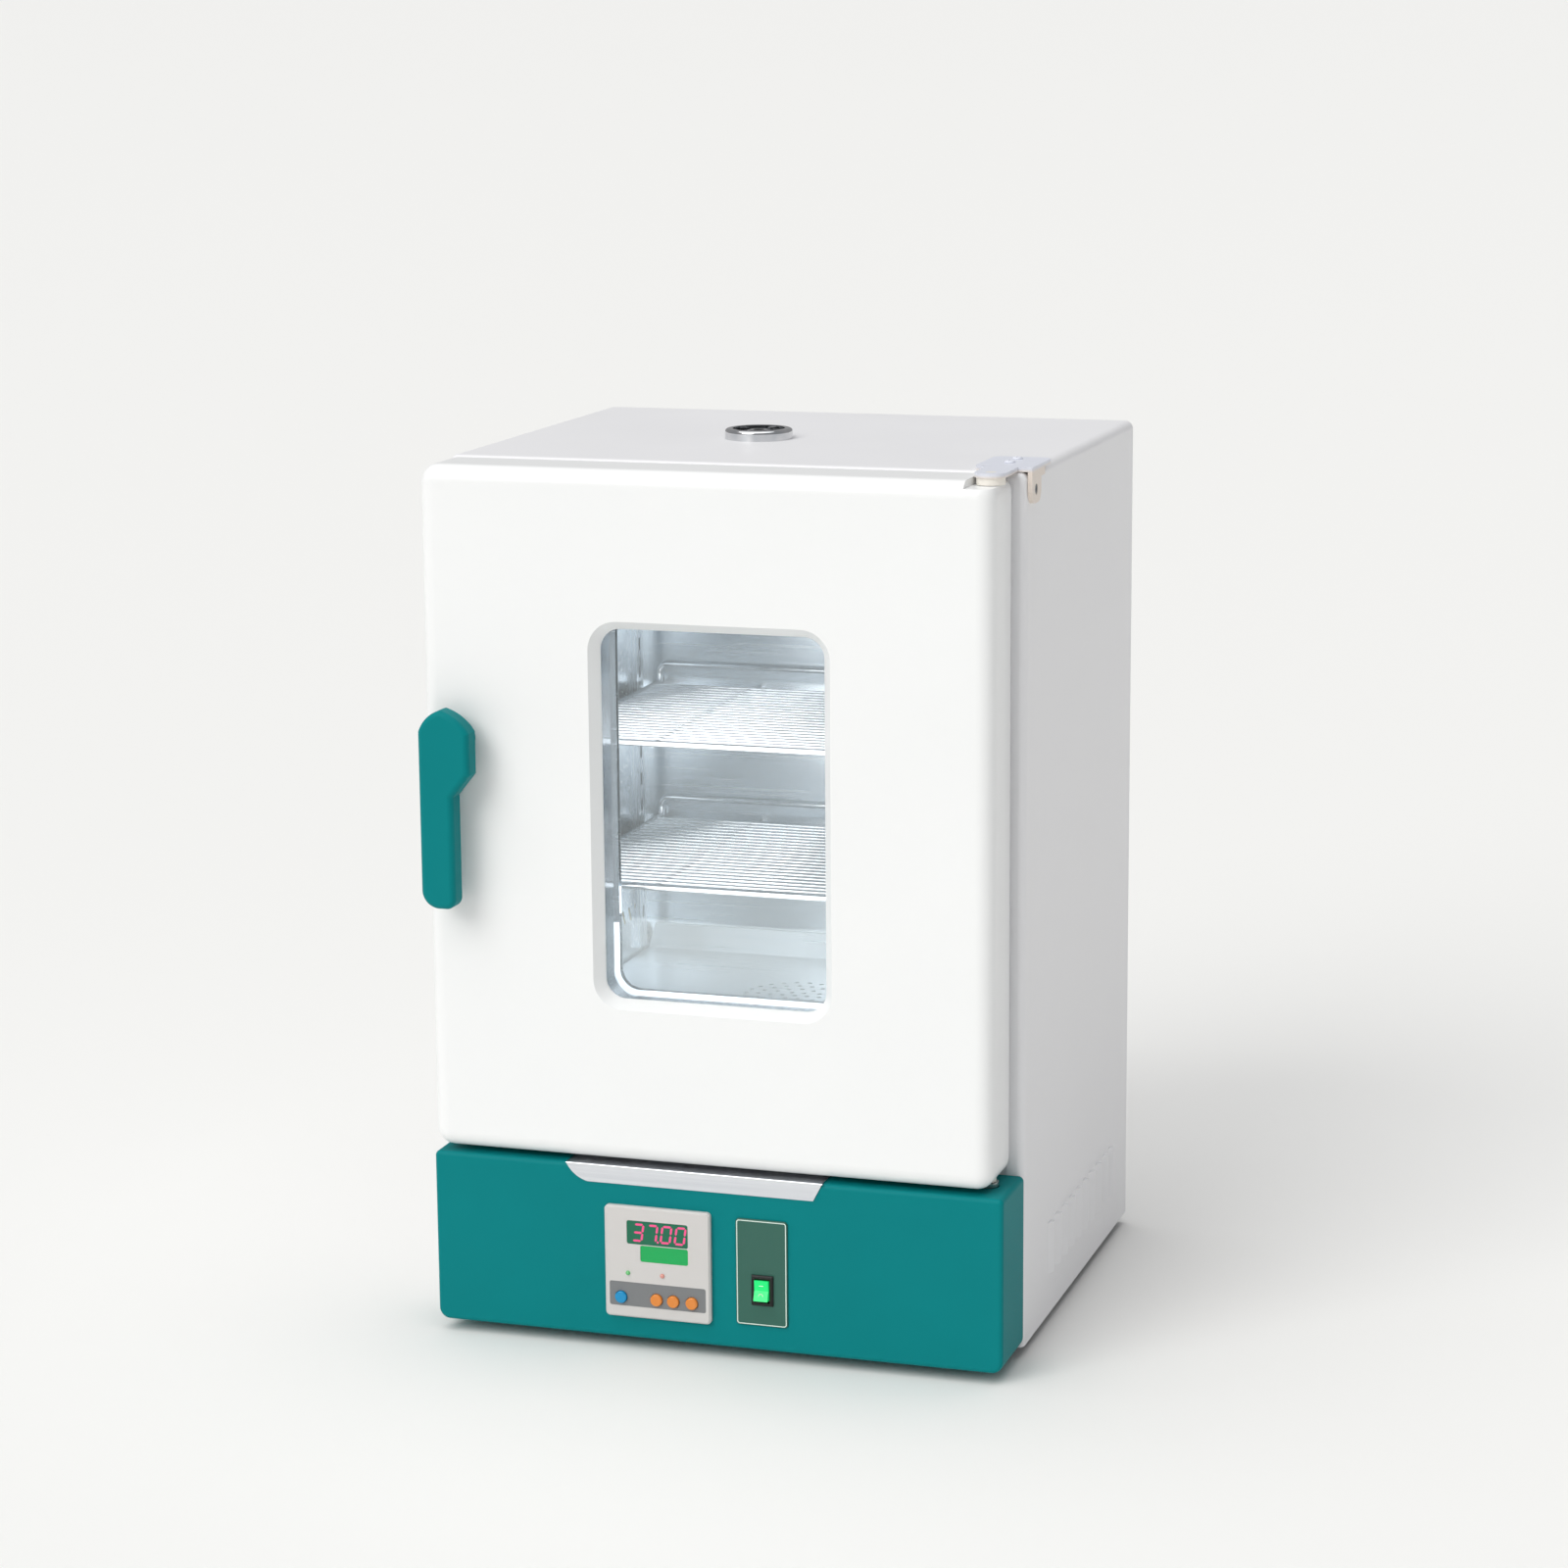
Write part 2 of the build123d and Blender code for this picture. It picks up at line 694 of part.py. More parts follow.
def sector_holes(z0, z1, r_in, r_out, share):
    """Equal ring sectors round the vent's axis."""
    cuts = []
    step = 360.0 / vent_sectors
    for i in range(vent_sectors):
        half = step * share / 2
        points = [(0, 0)]
        for k in range(5):
            a = math.radians(i * step - half + k * half / 2)
            points.append((2 * r_out * math.cos(a), 2 * r_out * math.sin(a)))
        wedge = Pos(vent_x, vent_cy, z0) * extrude(make_face(Polyline(*points, close=True)), z1 - z0)
        ring = rod_z(vent_x, vent_cy, z0, z1, r_out) - rod_z(vent_x, vent_cy, z0 - 1, z1 + 1, r_in)
        cuts.append(wedge & ring)
    return cuts


def vent_collar():
    """The chromed ring on the top, with a slotted web and a thermometer tube."""
    collar = rod_z(vent_x, vent_cy, top_z, top_z + vent_h, vent_r)
    collar = fillet(collar.edges().group_by(Axis.Z)[-1], 2.2)
    collar -= rod_z(vent_x, vent_cy, top_z + 1.6, top_z + vent_h + 1, vent_bore_r)
    collar -= sector_holes(top_z - 1, top_z + 3, damper_hub_r + 2.5, vent_bore_r - 2.0, 0.45)
    collar += rod_z(vent_x, vent_cy, top_z, top_z + vent_h - 1.0, damper_hub_r)
    cap_z = top_z + 2.0 + damper_t + rest_gap
    collar += rod_z(vent_x, vent_cy, cap_z, cap_z + 1.2, damper_hub_r + 1.8)
    return collar - rod_z(vent_x, vent_cy, top_z - 1, top_z + vent_h + 1, thermometer_r)


def vent_damper():
    """The turning disc over the web, with a finger tab."""
    z0 = top_z + 1.6 + 0.1
    disc = rod_z(vent_x, vent_cy, z0, z0 + damper_t, vent_bore_r - 0.3)
    disc -= sector_holes(z0 - 1, z0 + damper_t + 1, damper_hub_r + 2.5, vent_bore_r - 2.0, 0.45)
    tab = Pos(vent_x, vent_cy, z0) * Rot(0, 0, 60) * block(9.5, 15.5, -1.2, 1.2, 0, damper_t + 3.0)
    disc += tab
    return disc - rod_z(vent_x, vent_cy, z0 - 1, z0 + damper_t + 2, damper_hub_r + turning_fit)


# Hinges

def upper_bracket():
    """The hinge plate on the top, folded down over the right side."""
    z0 = top_z
    z1 = top_z + bracket_t
    x1 = side_x + bracket_t
    y0 = case_y0 + wing_in
    nose = rod_z(hinge_x, hinge_y, z0, z1, bracket_nose_r)
    neck = block(hinge_x - bracket_nose_r, hinge_x + bracket_nose_r, hinge_y, y0 + 15, z0, z1)
    tail = rounded(side_x - bracket_in, x1, y0, case_y0 + bracket_d, z0, z1, Axis.Z, 7)
    corner = block(side_x - 8, x1, y0, y0 + 12, z0, z1)
    wing = block(side_x, x1, y0, y0 + wing_w, top_z - 5, z1)
    toe = rounded(side_x, x1, y0, y0 + wing_toe, top_z - wing_drop, z1 - 1, Axis.X, 8)
    plate = nose + neck + tail + corner + wing + toe
    plate -= rod_x(side_x - 1, x1 + 1, y0 + wing_screw, top_z - wing_drop + 9, screw_r)
    return plate - rod_z(hinge_x, hinge_y, z0 - 1, z1 + 1, hinge_pin_r)


def upper_pin():
    """A shouldered pin riveted in the plate."""
    pin = rod_z(hinge_x, hinge_y, notch_z - bush_l + 1.0, top_z + bracket_t, hinge_pin_r)
    return pin + rod_z(hinge_x, hinge_y, notch_z + rest_gap, top_z, knuckle_r)


def lower_bracket():
    """The angle under the fascia's top that carries the lower pin."""
    z1 = fascia_z1 - fascia_t - sheet_gap
    z0 = z1 - bracket_t
    x0 = hinge_x - 18
    x1 = side_x - fold_w - 0.5
    arm = rounded(x0, side_x - fascia_t - 2, hinge_y - 13, case_y0 - 1.0, z0, z1, Axis.Z, 6)
    arm += block(x0, x1, case_y0 - 12, frame_y0, z0, z1)
    leg = block(x0, x1, frame_y0 - bracket_t, frame_y0, z0 - 30, z1)
    return (arm + leg) - rod_z(hinge_x, hinge_y, z0 - 1, z1 + 1, hinge_pin_r)


def lower_pin():
    z0 = fascia_z1 - fascia_t - sheet_gap
    pin = rod_z(hinge_x, hinge_y, z0 - bracket_t, door_z0 + bush_l - 1.0, hinge_pin_r)
    return pin + rod_z(hinge_x, hinge_y, z0, door_z0 - rest_gap, hinge_pin_r + 3.0)


def hinge_screws():
    """Round-headed screws of both brackets."""
    screws = []
    y1 = case_y0 + bracket_d
    for y in (y1 - 32, y1 - 12):
        screws.append(rod_z(side_x - bracket_in / 2, y, top_z + bracket_t, top_z + bracket_t + screw_h, screw_r))
    wing_y = case_y0 + wing_in + wing_screw
    screws.append(rod_x(side_x, side_x + bracket_t, wing_y, top_z - wing_drop + 9, screw_r))
    z = fascia_z1 - fascia_t - sheet_gap - 18
    for x in (hinge_x - 11, hinge_x + 1):
        y = frame_y0 - bracket_t
        screws.append(rod_y(x, y - screw_h, y, z, screw_r))
    return screws


# Door

def door_form(inset):
    """The rounded outside of the door, or the same form moved inwards."""
    form = block(door_x0 + inset, door_x1 - inset, door_y0 + inset, door_y1 - liner_t - inset,
                 door_z0 + inset, top_z - inset)
    form = fillet(form.edges().filter_by(Axis.Y), door_corner_r - inset)
    form = fillet(form.edges().group_by(Axis.Y)[0], door_edge_r - inset)
    return fillet(form.edges().group_by(Axis.Y)[-1], door_back_r - inset)


def notch_block(grow):
    return block(hinge_x - notch_r - grow, side_x + 5, door_y0 - 5, door_y1 + 5, notch_z - grow, top_z + 5)


def door_skin():
    """The pressed steel door with its bevelled window, hinge notch and turned-in back edge."""
    inner = door_form(shell_t) - notch_block(shell_t)
    lap = door_back_r + door_return
    mouth = rounded(door_x0 + lap, door_x1 - lap, door_y1 - 5, door_y1 + 5,
                    door_z0 + lap, top_z - lap, Axis.Y, 6)
    mouth -= notch_block(lap)
    skin = door_form(0) - notch_block(0) - inner - mouth
    wall = 2 * bevel_w + 4
    skin += window_block(window_w + wall, window_h + wall, door_y0, glass_y0, window_r + bevel_w)
    front = Plane(origin=(0, door_y0 - 0.01, 0), x_dir=(1, 0, 0), z_dir=(0, -1, 0))
    deep = Plane(origin=(0, door_y0 + bevel_d, 0), x_dir=(1, 0, 0), z_dir=(0, -1, 0))
    skin -= loft(Sketch() + [front * window_outline(bevel_w), deep * window_outline(0)])
    skin -= window_block(window_w, window_h, door_y0 - 1, glass_y0 + 1, window_r)
    skin -= rod_y(lever_cx, door_y0 - 1, door_y0 + 5, lever_cz, spindle_r + 2.0)
    skin -= rod_z(hinge_x, hinge_y, notch_z - 5, notch_z + 1, hinge_pin_r + bush_t)
    return skin - rod_z(hinge_x, hinge_y, door_z0 - 1, door_z0 + 5, hinge_pin_r + bush_t)


def window_outline(grow):
    outline = RectangleRounded(window_w + 2 * grow, window_h + 2 * grow, window_r + grow)
    return Pos(window_x, win_z) * outline


def door_panel():
    """The flat sheet on the inside of the door, with the inner pane's frame."""
    gap = door_back_r + sheet_gap
    panel = rounded(door_x0 + gap, door_x1 - gap, door_y1 - liner_t, door_y1,
                    door_z0 + gap, top_z - gap, Axis.Y, 6)
    panel -= notch_block(sheet_gap)
    rim = window_block(glass_w + 8, glass_h + 8, door_y1 - glass_t - 2 * liner_t, door_y1, 10)
    panel += rim
    panel -= window_block(glass_w + 0.6, glass_h + 0.6, door_y1 - glass_t - liner_t, door_y1 - liner_t, 6)
    panel -= window_block(window_w + 8, window_h + 8, door_y1 - 10, door_y1 + 1, window_r)
    return panel - rod_y(lever_cx, door_y1 - 5, door_y1 + 1, lever_cz, spindle_r + 2.0)


def outer_pane():
    return window_block(glass_w, glass_h, glass_y0, glass_y0 + glass_t, 6)


def inner_pane():
    return window_block(glass_w, glass_h, door_y1 - glass_t - liner_t, door_y1 - liner_t, 6)


def window_frame():
    """The sheet box that holds the outer pane and lines the window."""
    y0 = glass_y0
    y1 = door_y1 - glass_t - 2 * liner_t
    room_w = glass_w + 2 * seal_bead
    room_h = glass_h + 2 * seal_bead
    t = 2 * liner_t
    frame = window_block(room_w + t, room_h + t, y0, y0 + glass_t + t, 8 + liner_t)
    frame -= window_block(room_w, room_h, y0 - 1, y0 + glass_t, 8)
    frame += window_block(window_w + 12 + t, window_h + 12 + t, y0 + glass_t + liner_t, y1, window_r + 2)
    return frame - window_block(window_w + 12, window_h + 12, y0 - 1, y1 + 1, window_r + 2 - liner_t)


def window_seal():
    """A rubber bead round the outer pane."""
    bead = window_block(glass_w + 2 * seal_bead, glass_h + 2 * seal_bead, glass_y0, glass_y0 + glass_t, 8)
    return bead - window_block(glass_w, glass_h, glass_y0 - 1, glass_y0 + glass_t + 1, 6)


def door_insulation():
    """The blanket inside the door, cut round the window, latch and hinges."""
    y0 = door_y0 + shell_t + 0.4
    y1 = door_y1 - liner_t - shell_t - 0.4
    r = door_edge_r
    pad = block(door_x0 + r, door_x1 - r, y0, y1, door_z0 + r, top_z - r)
    pad -= window_block(glass_w + 2 * seal_bead + 2 * liner_t + 8, glass_h + 2 * seal_bead + 2 * liner_t + 8,
                        door_y0 - 1, y1 + 2, window_r)
    pad -= rod_y(lever_cx, door_y0 - 1, y1 + 1, lever_cz, 13.0)
    clear = block_w / 2 + 1.5
    for z0, z1 in ((door_z0 - 5, door_z0 + block_h + 3), (notch_z - block_h - 3, top_z + 5)):
        pad -= block(hinge_x - clear - 6, door_x1 + 5, door_y0 - 1, y1 + 2, z0, z1)
    return pad


def hinge_blocks():
    """Steel blocks in the door's corners that hold the bushes."""
    half = block_w / 2
    x1 = door_x1
    low = block(hinge_x - half, x1, hinge_y - 10, hinge_y + 10, door_z0 + shell_t, door_z0 + block_h)
    high = block(hinge_x - half, x1, hinge_y - 10, hinge_y + 10, notch_z - block_h, notch_z - shell_t)
    low -= rod_z(hinge_x, hinge_y, door_z0 - 1, door_z0 + bush_l, hinge_pin_r + bush_t)
    high -= rod_z(hinge_x, hinge_y, notch_z - bush_l, notch_z + 1, hinge_pin_r + bush_t)
    return [low & door_form(shell_t), high & door_form(shell_t)]


def hinge_bushes():
    """Two plastic bushes that turn on the pins."""
    low = rod_z(hinge_x, hinge_y, door_z0, door_z0 + bush_l, hinge_pin_r + bush_t)
    low -= rod_z(hinge_x, hinge_y, door_z0 - 1, door_z0 + bush_l + 1, hinge_pin_r + turning_fit)
    high = rod_z(hinge_x, hinge_y, notch_z - bush_l, notch_z, hinge_pin_r + bush_t)
    high -= rod_z(hinge_x, hinge_y, notch_z - bush_l - 1, notch_z + 1, hinge_pin_r + turning_fit)
    return [low, high]


def door_gasket():
    """The soft seal on the door that closes on the cabinet's front."""
    y0 = door_y1
    y1 = frame_y0 - rest_gap
    r = chamber_r + gasket_off
    outer = rounded(-gasket_in_x - gasket_w, gasket_in_x + gasket_w, y0, y1,
                    gasket_in_z0 - gasket_w, gasket_in_z1 + gasket_w, Axis.Y, r + gasket_w)
    core = rounded(-gasket_in_x, gasket_in_x, y0 - 1, y1 + 1, gasket_in_z0, gasket_in_z1, Axis.Y, r)
    ring = outer - core
    return fillet(ring.edges().group_by(Axis.Y)[-1], gasket_round)


# Latch

def escutcheon():
    """The round seat of the lever, with the spindle's sleeve through the door."""
    seat = rod_y(lever_cx, door_y0 - escutcheon_t, door_y0, lever_cz, escutcheon_r)
    seat = chamfer(seat.edges().group_by(Axis.Y)[0], 1.0)
    sleeve = rod_y(lever_cx, door_y0, door_y1, lever_cz, spindle_r + 2.0)
    nut = rod_y(lever_cx, door_y1 - liner_t - 4.0, door_y1 - liner_t, lever_cz, 9.0)
    bore = rod_y(lever_cx, door_y0 - 5, door_y1 + 5, lever_cz, spindle_r + turning_fit)
    return (seat + sleeve + nut) - bore


def lever_outline():
    """Head with a rounded gable, cut back below to a straight stem."""
    left = lever_cx - lever_w / 2
    right = lever_cx + lever_w / 2
    stem_right = left + stem_w
    top = lever_cz + lever_top
    shoulder = top - 15.0
    foot = lever_cz - lever_drop
    apex_x = left + 0.44 * lever_w
    with BuildSketch() as sketch:
        with BuildLine():
            Line((left, foot + 12.0), (left, shoulder))
            ThreePointArc((left, shoulder), (left + 0.17 * lever_w, shoulder + 9.6), (apex_x, top))
            ThreePointArc((apex_x, top), (right - 0.24 * lever_w, shoulder + 9.4), (right, shoulder))
            Line((right, shoulder), (right, shoulder - 28.0))
            Line((right, shoulder - 28.0), (stem_right, shoulder - 43.0))
            Line((stem_right, shoulder - 43.0), (stem_right, foot + 7.0))
            ThreePointArc((stem_right, foot + 7.0), (stem_right - 2.0, foot + 2.0), (stem_right - 7.0, foot))
            Line((stem_right - 7.0, foot), (left + 12.0, foot))
            ThreePointArc((left + 12.0, foot), (left + 3.6, foot + 3.6), (left, foot + 12.0))
        make_face()
    return sketch.sketch


def handle_lever():
    """The moulded lever with its hub."""
    lever = front_slab(lever_outline(), lever_y0, lever_y1)
    lever = fillet(lever.edges().group_by(Axis.Y)[0], lever_edge_r)
    hub = rod_y(lever_cx, lever_y1 - 1.0, door_y0 - escutcheon_t - rest_gap, lever_cz, hub_r)
    return (lever + hub) - rod_y(lever_cx, lever_y1 - 8.0, door_y0, lever_cz, spindle_r)


def latch_spindle():
    """The steel spindle and its tongue, fixed in the lever's hub."""
    y_end = frame_y1 + 3.0
    spindle = rod_y(lever_cx, lever_y1 - 8.0, y_end, lever_cz, spindle_r)
    tongue = rounded(lever_cx - tongue_w / 2, lever_cx + tongue_w / 2, y_end, y_end + tongue_t,
                     lever_cz - tongue_l / 2, lever_cz + tongue_l / 2, Axis.Y, 3.0)
    return spindle + tongue


# Base with the controls

def fascia():
    """The moulded front of the base, open towards the cabinet."""
    form = block(-side_x, side_x, door_y0, case_y0, base_z, fascia_z1)
    form = fillet(form.edges().filter_by(Axis.Y).group_by(Axis.Z)[0], fascia_corner_r)
    form = fillet(form.edges().filter_by(Axis.Y).group_by(Axis.Z)[-1], fascia_edge_r + 0.5)
    form = fillet(form.edges().group_by(Axis.Y)[0], fascia_edge_r)
    t = fascia_t
    room = block(-side_x + t, side_x - t, door_y0 + t, case_y0 + 5, base_z + t, fascia_z1 - t)
    room = fillet(room.edges().filter_by(Axis.Y).group_by(Axis.Z)[0], fascia_corner_r - t)
    form -= room
    for side in (-1, 1):
        xs = sorted((side * (side_x - fold_w - 1), side * (side_x - fold_w - 24)))
        form += block(xs[0], xs[1], frame_y0 - t, frame_y0, base_z + 0.5, base_z + 22)
        form += block(xs[0], xs[1], case_y0 - 8, frame_y0, base_z + 0.5, base_z + t)
    form -= rod_z(hinge_x, hinge_y, fascia_z1 - 8, fascia_z1 + 5, hinge_pin_r + 3.6)
    form -= control_block(control_lap - sheet_gap, door_y0 - 1, door_y0 + 10)
    form -= switch_block(bezel_wall - sheet_gap, door_y0 - 1, door_y0 + 10)
    return form


def control_block(inset, y0, y1):
    w = control_w / 2 - inset
    h = control_h / 2 - inset
    return block(control_x - w, control_x + w, y0, y1, control_cz - h, control_cz + h)


def switch_block(inset, y0, y1):
    w = bezel_w / 2 - inset
    h = bezel_h / 2 - inset
    return block(switch_x - w, switch_x + w, y0, y1, rocker_cz - h, rocker_cz + h)


def drip_lip():
    """A stainless strip on the fascia's top edge, folded down in front."""
    z1 = fascia_z1 + lip_t
    leaf = block(lip_x0, lip_x1, door_y0 - lip_t, door_y0 + lip_back, fascia_z1, z1)
    left_low = (lip_x0 + lip_taper_left, z1 - lip_h)
    bow = (lip_x0 + 0.38 * lip_taper_left, z1 - 0.62 * lip_h)
    with BuildSketch() as front:
        with BuildLine():
            Line((lip_x0, z1), (lip_x1, z1))
            Line((lip_x1, z1), (lip_x1 - lip_taper_right, z1 - lip_h))
            Line((lip_x1 - lip_taper_right, z1 - lip_h), left_low)
            ThreePointArc(left_low, bow, (lip_x0, z1))
        make_face()
    strip = leaf + front_slab(front.sketch, door_y0 - lip_t, door_y0)
    creases = strip.edges().filter_by(Axis.X).group_by(Axis.Z)[-1]
    return fillet(creases.sort_by(Axis.Y)[0], 0.9 * lip_t)


def display_block(up, y0, y1, play):
    """A display window's block, set out from the controller's right edge."""
    dz, w, h = up
    x1 = control_x + display_right + play
    x0 = control_x + display_right - w - play
    z = control_cz + dz
    return rounded(x0, x1, y0, y1, z - h / 2 - play, z + h / 2 + play, Axis.Y, 1.5)


def controller_case():
    """The plug-in controller: bezel, body, pockets and button holes."""
    y0 = door_y0 - control_out
    bezel = block(control_x - control_w / 2, control_x + control_w / 2, y0, door_y0,
                  control_cz - control_h / 2, control_cz + control_h / 2)
    bezel = fillet(bezel.edges().filter_by(Axis.Y), 3.0)
    bezel = chamfer(bezel.edges().group_by(Axis.Y)[0], 1.2)
    body = control_block(control_lap, door_y0, door_y0 + control_d)
    room = control_block(control_lap + 2.0, door_y0 + 3.0, door_y0 + control_d - 2.0)
    case = bezel + body - room
    case -= display_block(display_up, y0 - 1, door_y0 - 1.0, 0)
    case -= display_block(display_low, y0 - 1, door_y0 - 1.0, 0)
    case -= band_block(y0 - 1, y0 + band_t)
    for bx in button_xs:
        case -= rod_y(control_x + bx, y0 - 1, door_y0 + 5, control_cz + button_low, button_r + button_fit)
    for lx in lamp_xs:
        case -= rod_y(control_x + lx, y0 - 1, y0 + 2.5, control_cz + lamp_up, lamp_r)
    return case


def band_block(y0, y1):
    z = control_cz + band_z
    x0 = control_x - band_w / 2
    return rounded(x0, x0 + band_w, y0, y1, z - band_h / 2, z + band_h / 2, Axis.Y, 1.5)


def keypad_band():
    """The grey strip behind the buttons."""
    y0 = door_y0 - control_out
    band = band_block(y0 + 0.2, y0 + band_t)
    for bx in button_xs:
        band -= rod_y(control_x + bx, y0 - 1, y0 + 5, control_cz + button_low, button_r + button_fit)
    return band


def display_window(up):
    """A tinted window with the digits' module behind it."""
    y0 = door_y0 - control_out
    return display_block(up, y0 + 0.4, door_y0 - 1.0, 0)


def signal_lamp(i):
    y0 = door_y0 - control_out
    x = control_x + lamp_xs[i]
    z = control_cz + lamp_up
    lamp = rod_y(x, y0, y0 + 2.5, z, lamp_r)
    return lamp + Pos(x, y0, z) * Sphere(lamp_r)


def push_button(i):
    """A round key with a collar behind the front, over its switch."""
    y0 = door_y0 - control_out - button_out
    x = control_x + button_xs[i]
    z = control_cz + button_low
    key = rod_y(x, y0, door_y0 + 3.0 + rest_gap, z, button_r)
    key = fillet(key.edges().group_by(Axis.Y)[0], 0.9)
    return key + rod_y(x, door_y0 + 3.0 + rest_gap, door_y0 + 4.5, z, button_r + 1.0)


def controller_board():
    """The circuit board with the key switches and the relay on it."""
    w = control_w / 2 - control_lap - 2.4
    h = control_h / 2 - control_lap - 2.4
    y0 = door_y0 + 9.0
    board = block(control_x - w, control_x + w, y0, y0 + 1.6, control_cz - h, control_cz + h)
    parts = []
    for bx in button_xs:
        x = control_x + bx
        z = control_cz + button_low
        parts.append(rod_y(x, door_y0 + 4.5 + button_travel + rest_gap, y0, z, 1.8))
    parts.append(block(control_x - 8, control_x + 12, y0 + 1.6, y0 + 17, control_cz - 8, control_cz + 8))
    parts.append(block(control_x - 26, control_x - 6, y0 + 1.6, y0 + 12, control_cz + 14, control_cz + 28))
    board += parts
    ribs = block(control_x - w - 0.4, control_x + w + 0.4, y0, y0 + 1.6, control_cz - 6, control_cz + 6)
    return board + ribs


def switch_plate():
    """The coloured plate round the mains switch."""
    x0 = switch_x - plate_w / 2 - 0.8
    z0 = base_z + plate_z - plate_h / 2
    plate = rounded(x0, x0 + plate_w, door_y0 - plate_t, door_y0, z0, z0 + plate_h, Axis.Y, 2.5)
    plate = chamfer(plate.edges().group_by(Axis.Y)[0], 0.5)
    return plate - switch_block(bezel_wall - sheet_gap, door_y0 - 5, door_y0 + 1)


def switch_body():
    """The snap-in switch: bezel, well and terminals."""
    y0 = door_y0 - plate_t - bezel_t
    body = switch_block(0, y0, y0 + bezel_t)
    body = chamfer(body.edges().group_by(Axis.Y)[0], 0.8)
    body += switch_block(bezel_wall, y0 + bezel_t, door_y0 + switch_d)
    body -= switch_block(bezel_wall + 0.8, y0 - 1, door_y0 + 9.0)
    reach = bezel_w / 2 - bezel_wall - 0.3
    body -= rod_x(switch_x - reach, switch_x + reach, rocker_axis_y(), rocker_cz, trunnion_r + turning_fit)
    y1 = door_y0 + switch_d
    tabs = [Pos(switch_x, y1 + 4, rocker_cz + dz) * Box(4.8, 8, 0.8) for dz in (-5.0, 0, 5.0)]
    return body + tabs


def rocker_axis_y():
    return door_y0 - plate_t + 0.5


def rocker():
    """The lit rocker, resting pressed in at its upper end."""
    half_w = bezel_w / 2 - bezel_wall - 0.8 - rocker_play
    half_h = bezel_h / 2 - bezel_wall - 0.8 - rocker_play - 0.9
    ends = 5.2
    middle = 3.8
    outline = Polyline((-ends, -half_h), (-middle, 0), (-ends, half_h), (0.5, half_h - 0.6), (5.0, 0),
                       (0.5, -half_h + 0.6), close=True)
    side = Plane(origin=(0, 0, 0), x_dir=(0, 1, 0), z_dir=(1, 0, 0))
    body = extrude(side * make_face(outline), half_w, both=True)
    body += Rot(0, 90, 0) * Cylinder(trunnion_r, 2 * (half_w + rocker_play + 0.4))
    return Pos(switch_x, rocker_axis_y(), rocker_cz) * Rot(-rocker_tilt, 0, 0) * body


# Inner fittings

def terminal_block():
    """A row of screw terminals on the base pan."""
    z0 = base_z + shell_t
    z1 = z0 + terminal_h
    x0 = side_x - terminal_in
    y0 = case_y0 + sink_y + sink_d / 2
    y1 = y0 + terminal_d
    strip = block(x0, x0 + terminal_l, y0, y1, z0, z0 + terminal_base)
    pitch = terminal_l / terminal_ways
    for i in range(terminal_ways):
        x = x0 + (i + 0.5) * pitch
        strip += block(x - 0.38 * pitch, x + 0.38 * pitch, y0 + 3, y1 - 3, z0 + terminal_base, z1)
        strip -= rod_z(x, y0 + 7, z1 - 5, z1 + 1, 0.2 * pitch)
        strip -= rod_z(x, y1 - 7, z1 - 5, z1 + 1, 0.2 * pitch)
    return strip


def power_relay():
    """The solid-state relay on its finned heat sink."""
    z0 = base_z + shell_t
    x0 = -side_x + sink_in
    x1 = x0 + sink_w
    y0 = case_y0 + sink_y
    y1 = y0 + sink_d
    sink = block(x0, x1, y0, y1, z0, z0 + sink_base)
    for i in range(sink_fins):
        x = x0 + i * (sink_w - fin_t) / (sink_fins - 1)
        sink += block(x, x + fin_t, y0, y1, z0 + sink_base, z0 + sink_h)
    m = relay_margin
    return sink + block(x0 + m, x1 - m, y0 + m, y1 - m, z0 + sink_h, z0 + sink_h + relay_h)


def cable_gland():
    """The dome gland for the mains lead, clamped in the back panel."""
    y1 = case_y1
    z = base_z + gland_z
    gland = rod_y(gland_x, y1 - 12, y1 + 4, z, gland_r)
    flat = Plane(origin=(gland_x, y1 + 4, z), x_dir=(1, 0, 0), z_dir=(0, -1, 0))
    gland += extrude(flat * RegularPolygon(gland_r + 3.5, 6), 4)
    nut_plane = Plane(origin=(gland_x, y1 - shell_t, z), x_dir=(1, 0, 0), z_dir=(0, -1, 0))
    gland += extrude(nut_plane * RegularPolygon(gland_r + 3.5, 6), 4)
    dome = rod_y(gland_x, y1 + 4, y1 + rear_out, z, gland_r)
    dome = fillet(dome.edges().group_by(Axis.Y)[-1], 4.0)
    return (gland + dome) - rod_y(gland_x, y1 - 20, y1 + rear_out + 5, z, gland_bore_r)


def panel_screws():
    """The heads that hold the back panel's edges and the strike side."""
    heads = []
    for x in (-side_x + 8, side_x - 8):
        for z in (base_z + 24, base_z + body_h / 2, top_z - 24):
            heads.append(rod_y(x, case_y1, case_y1 + screw_h, z, screw_r))
    for x in (-90.0, 90.0):
        heads.append(rod_y(x, case_y1, case_y1 + screw_h, top_z - 8, screw_r))
        heads.append(rod_y(x, case_y1, case_y1 + screw_h, base_z + 8, screw_r))
    return heads


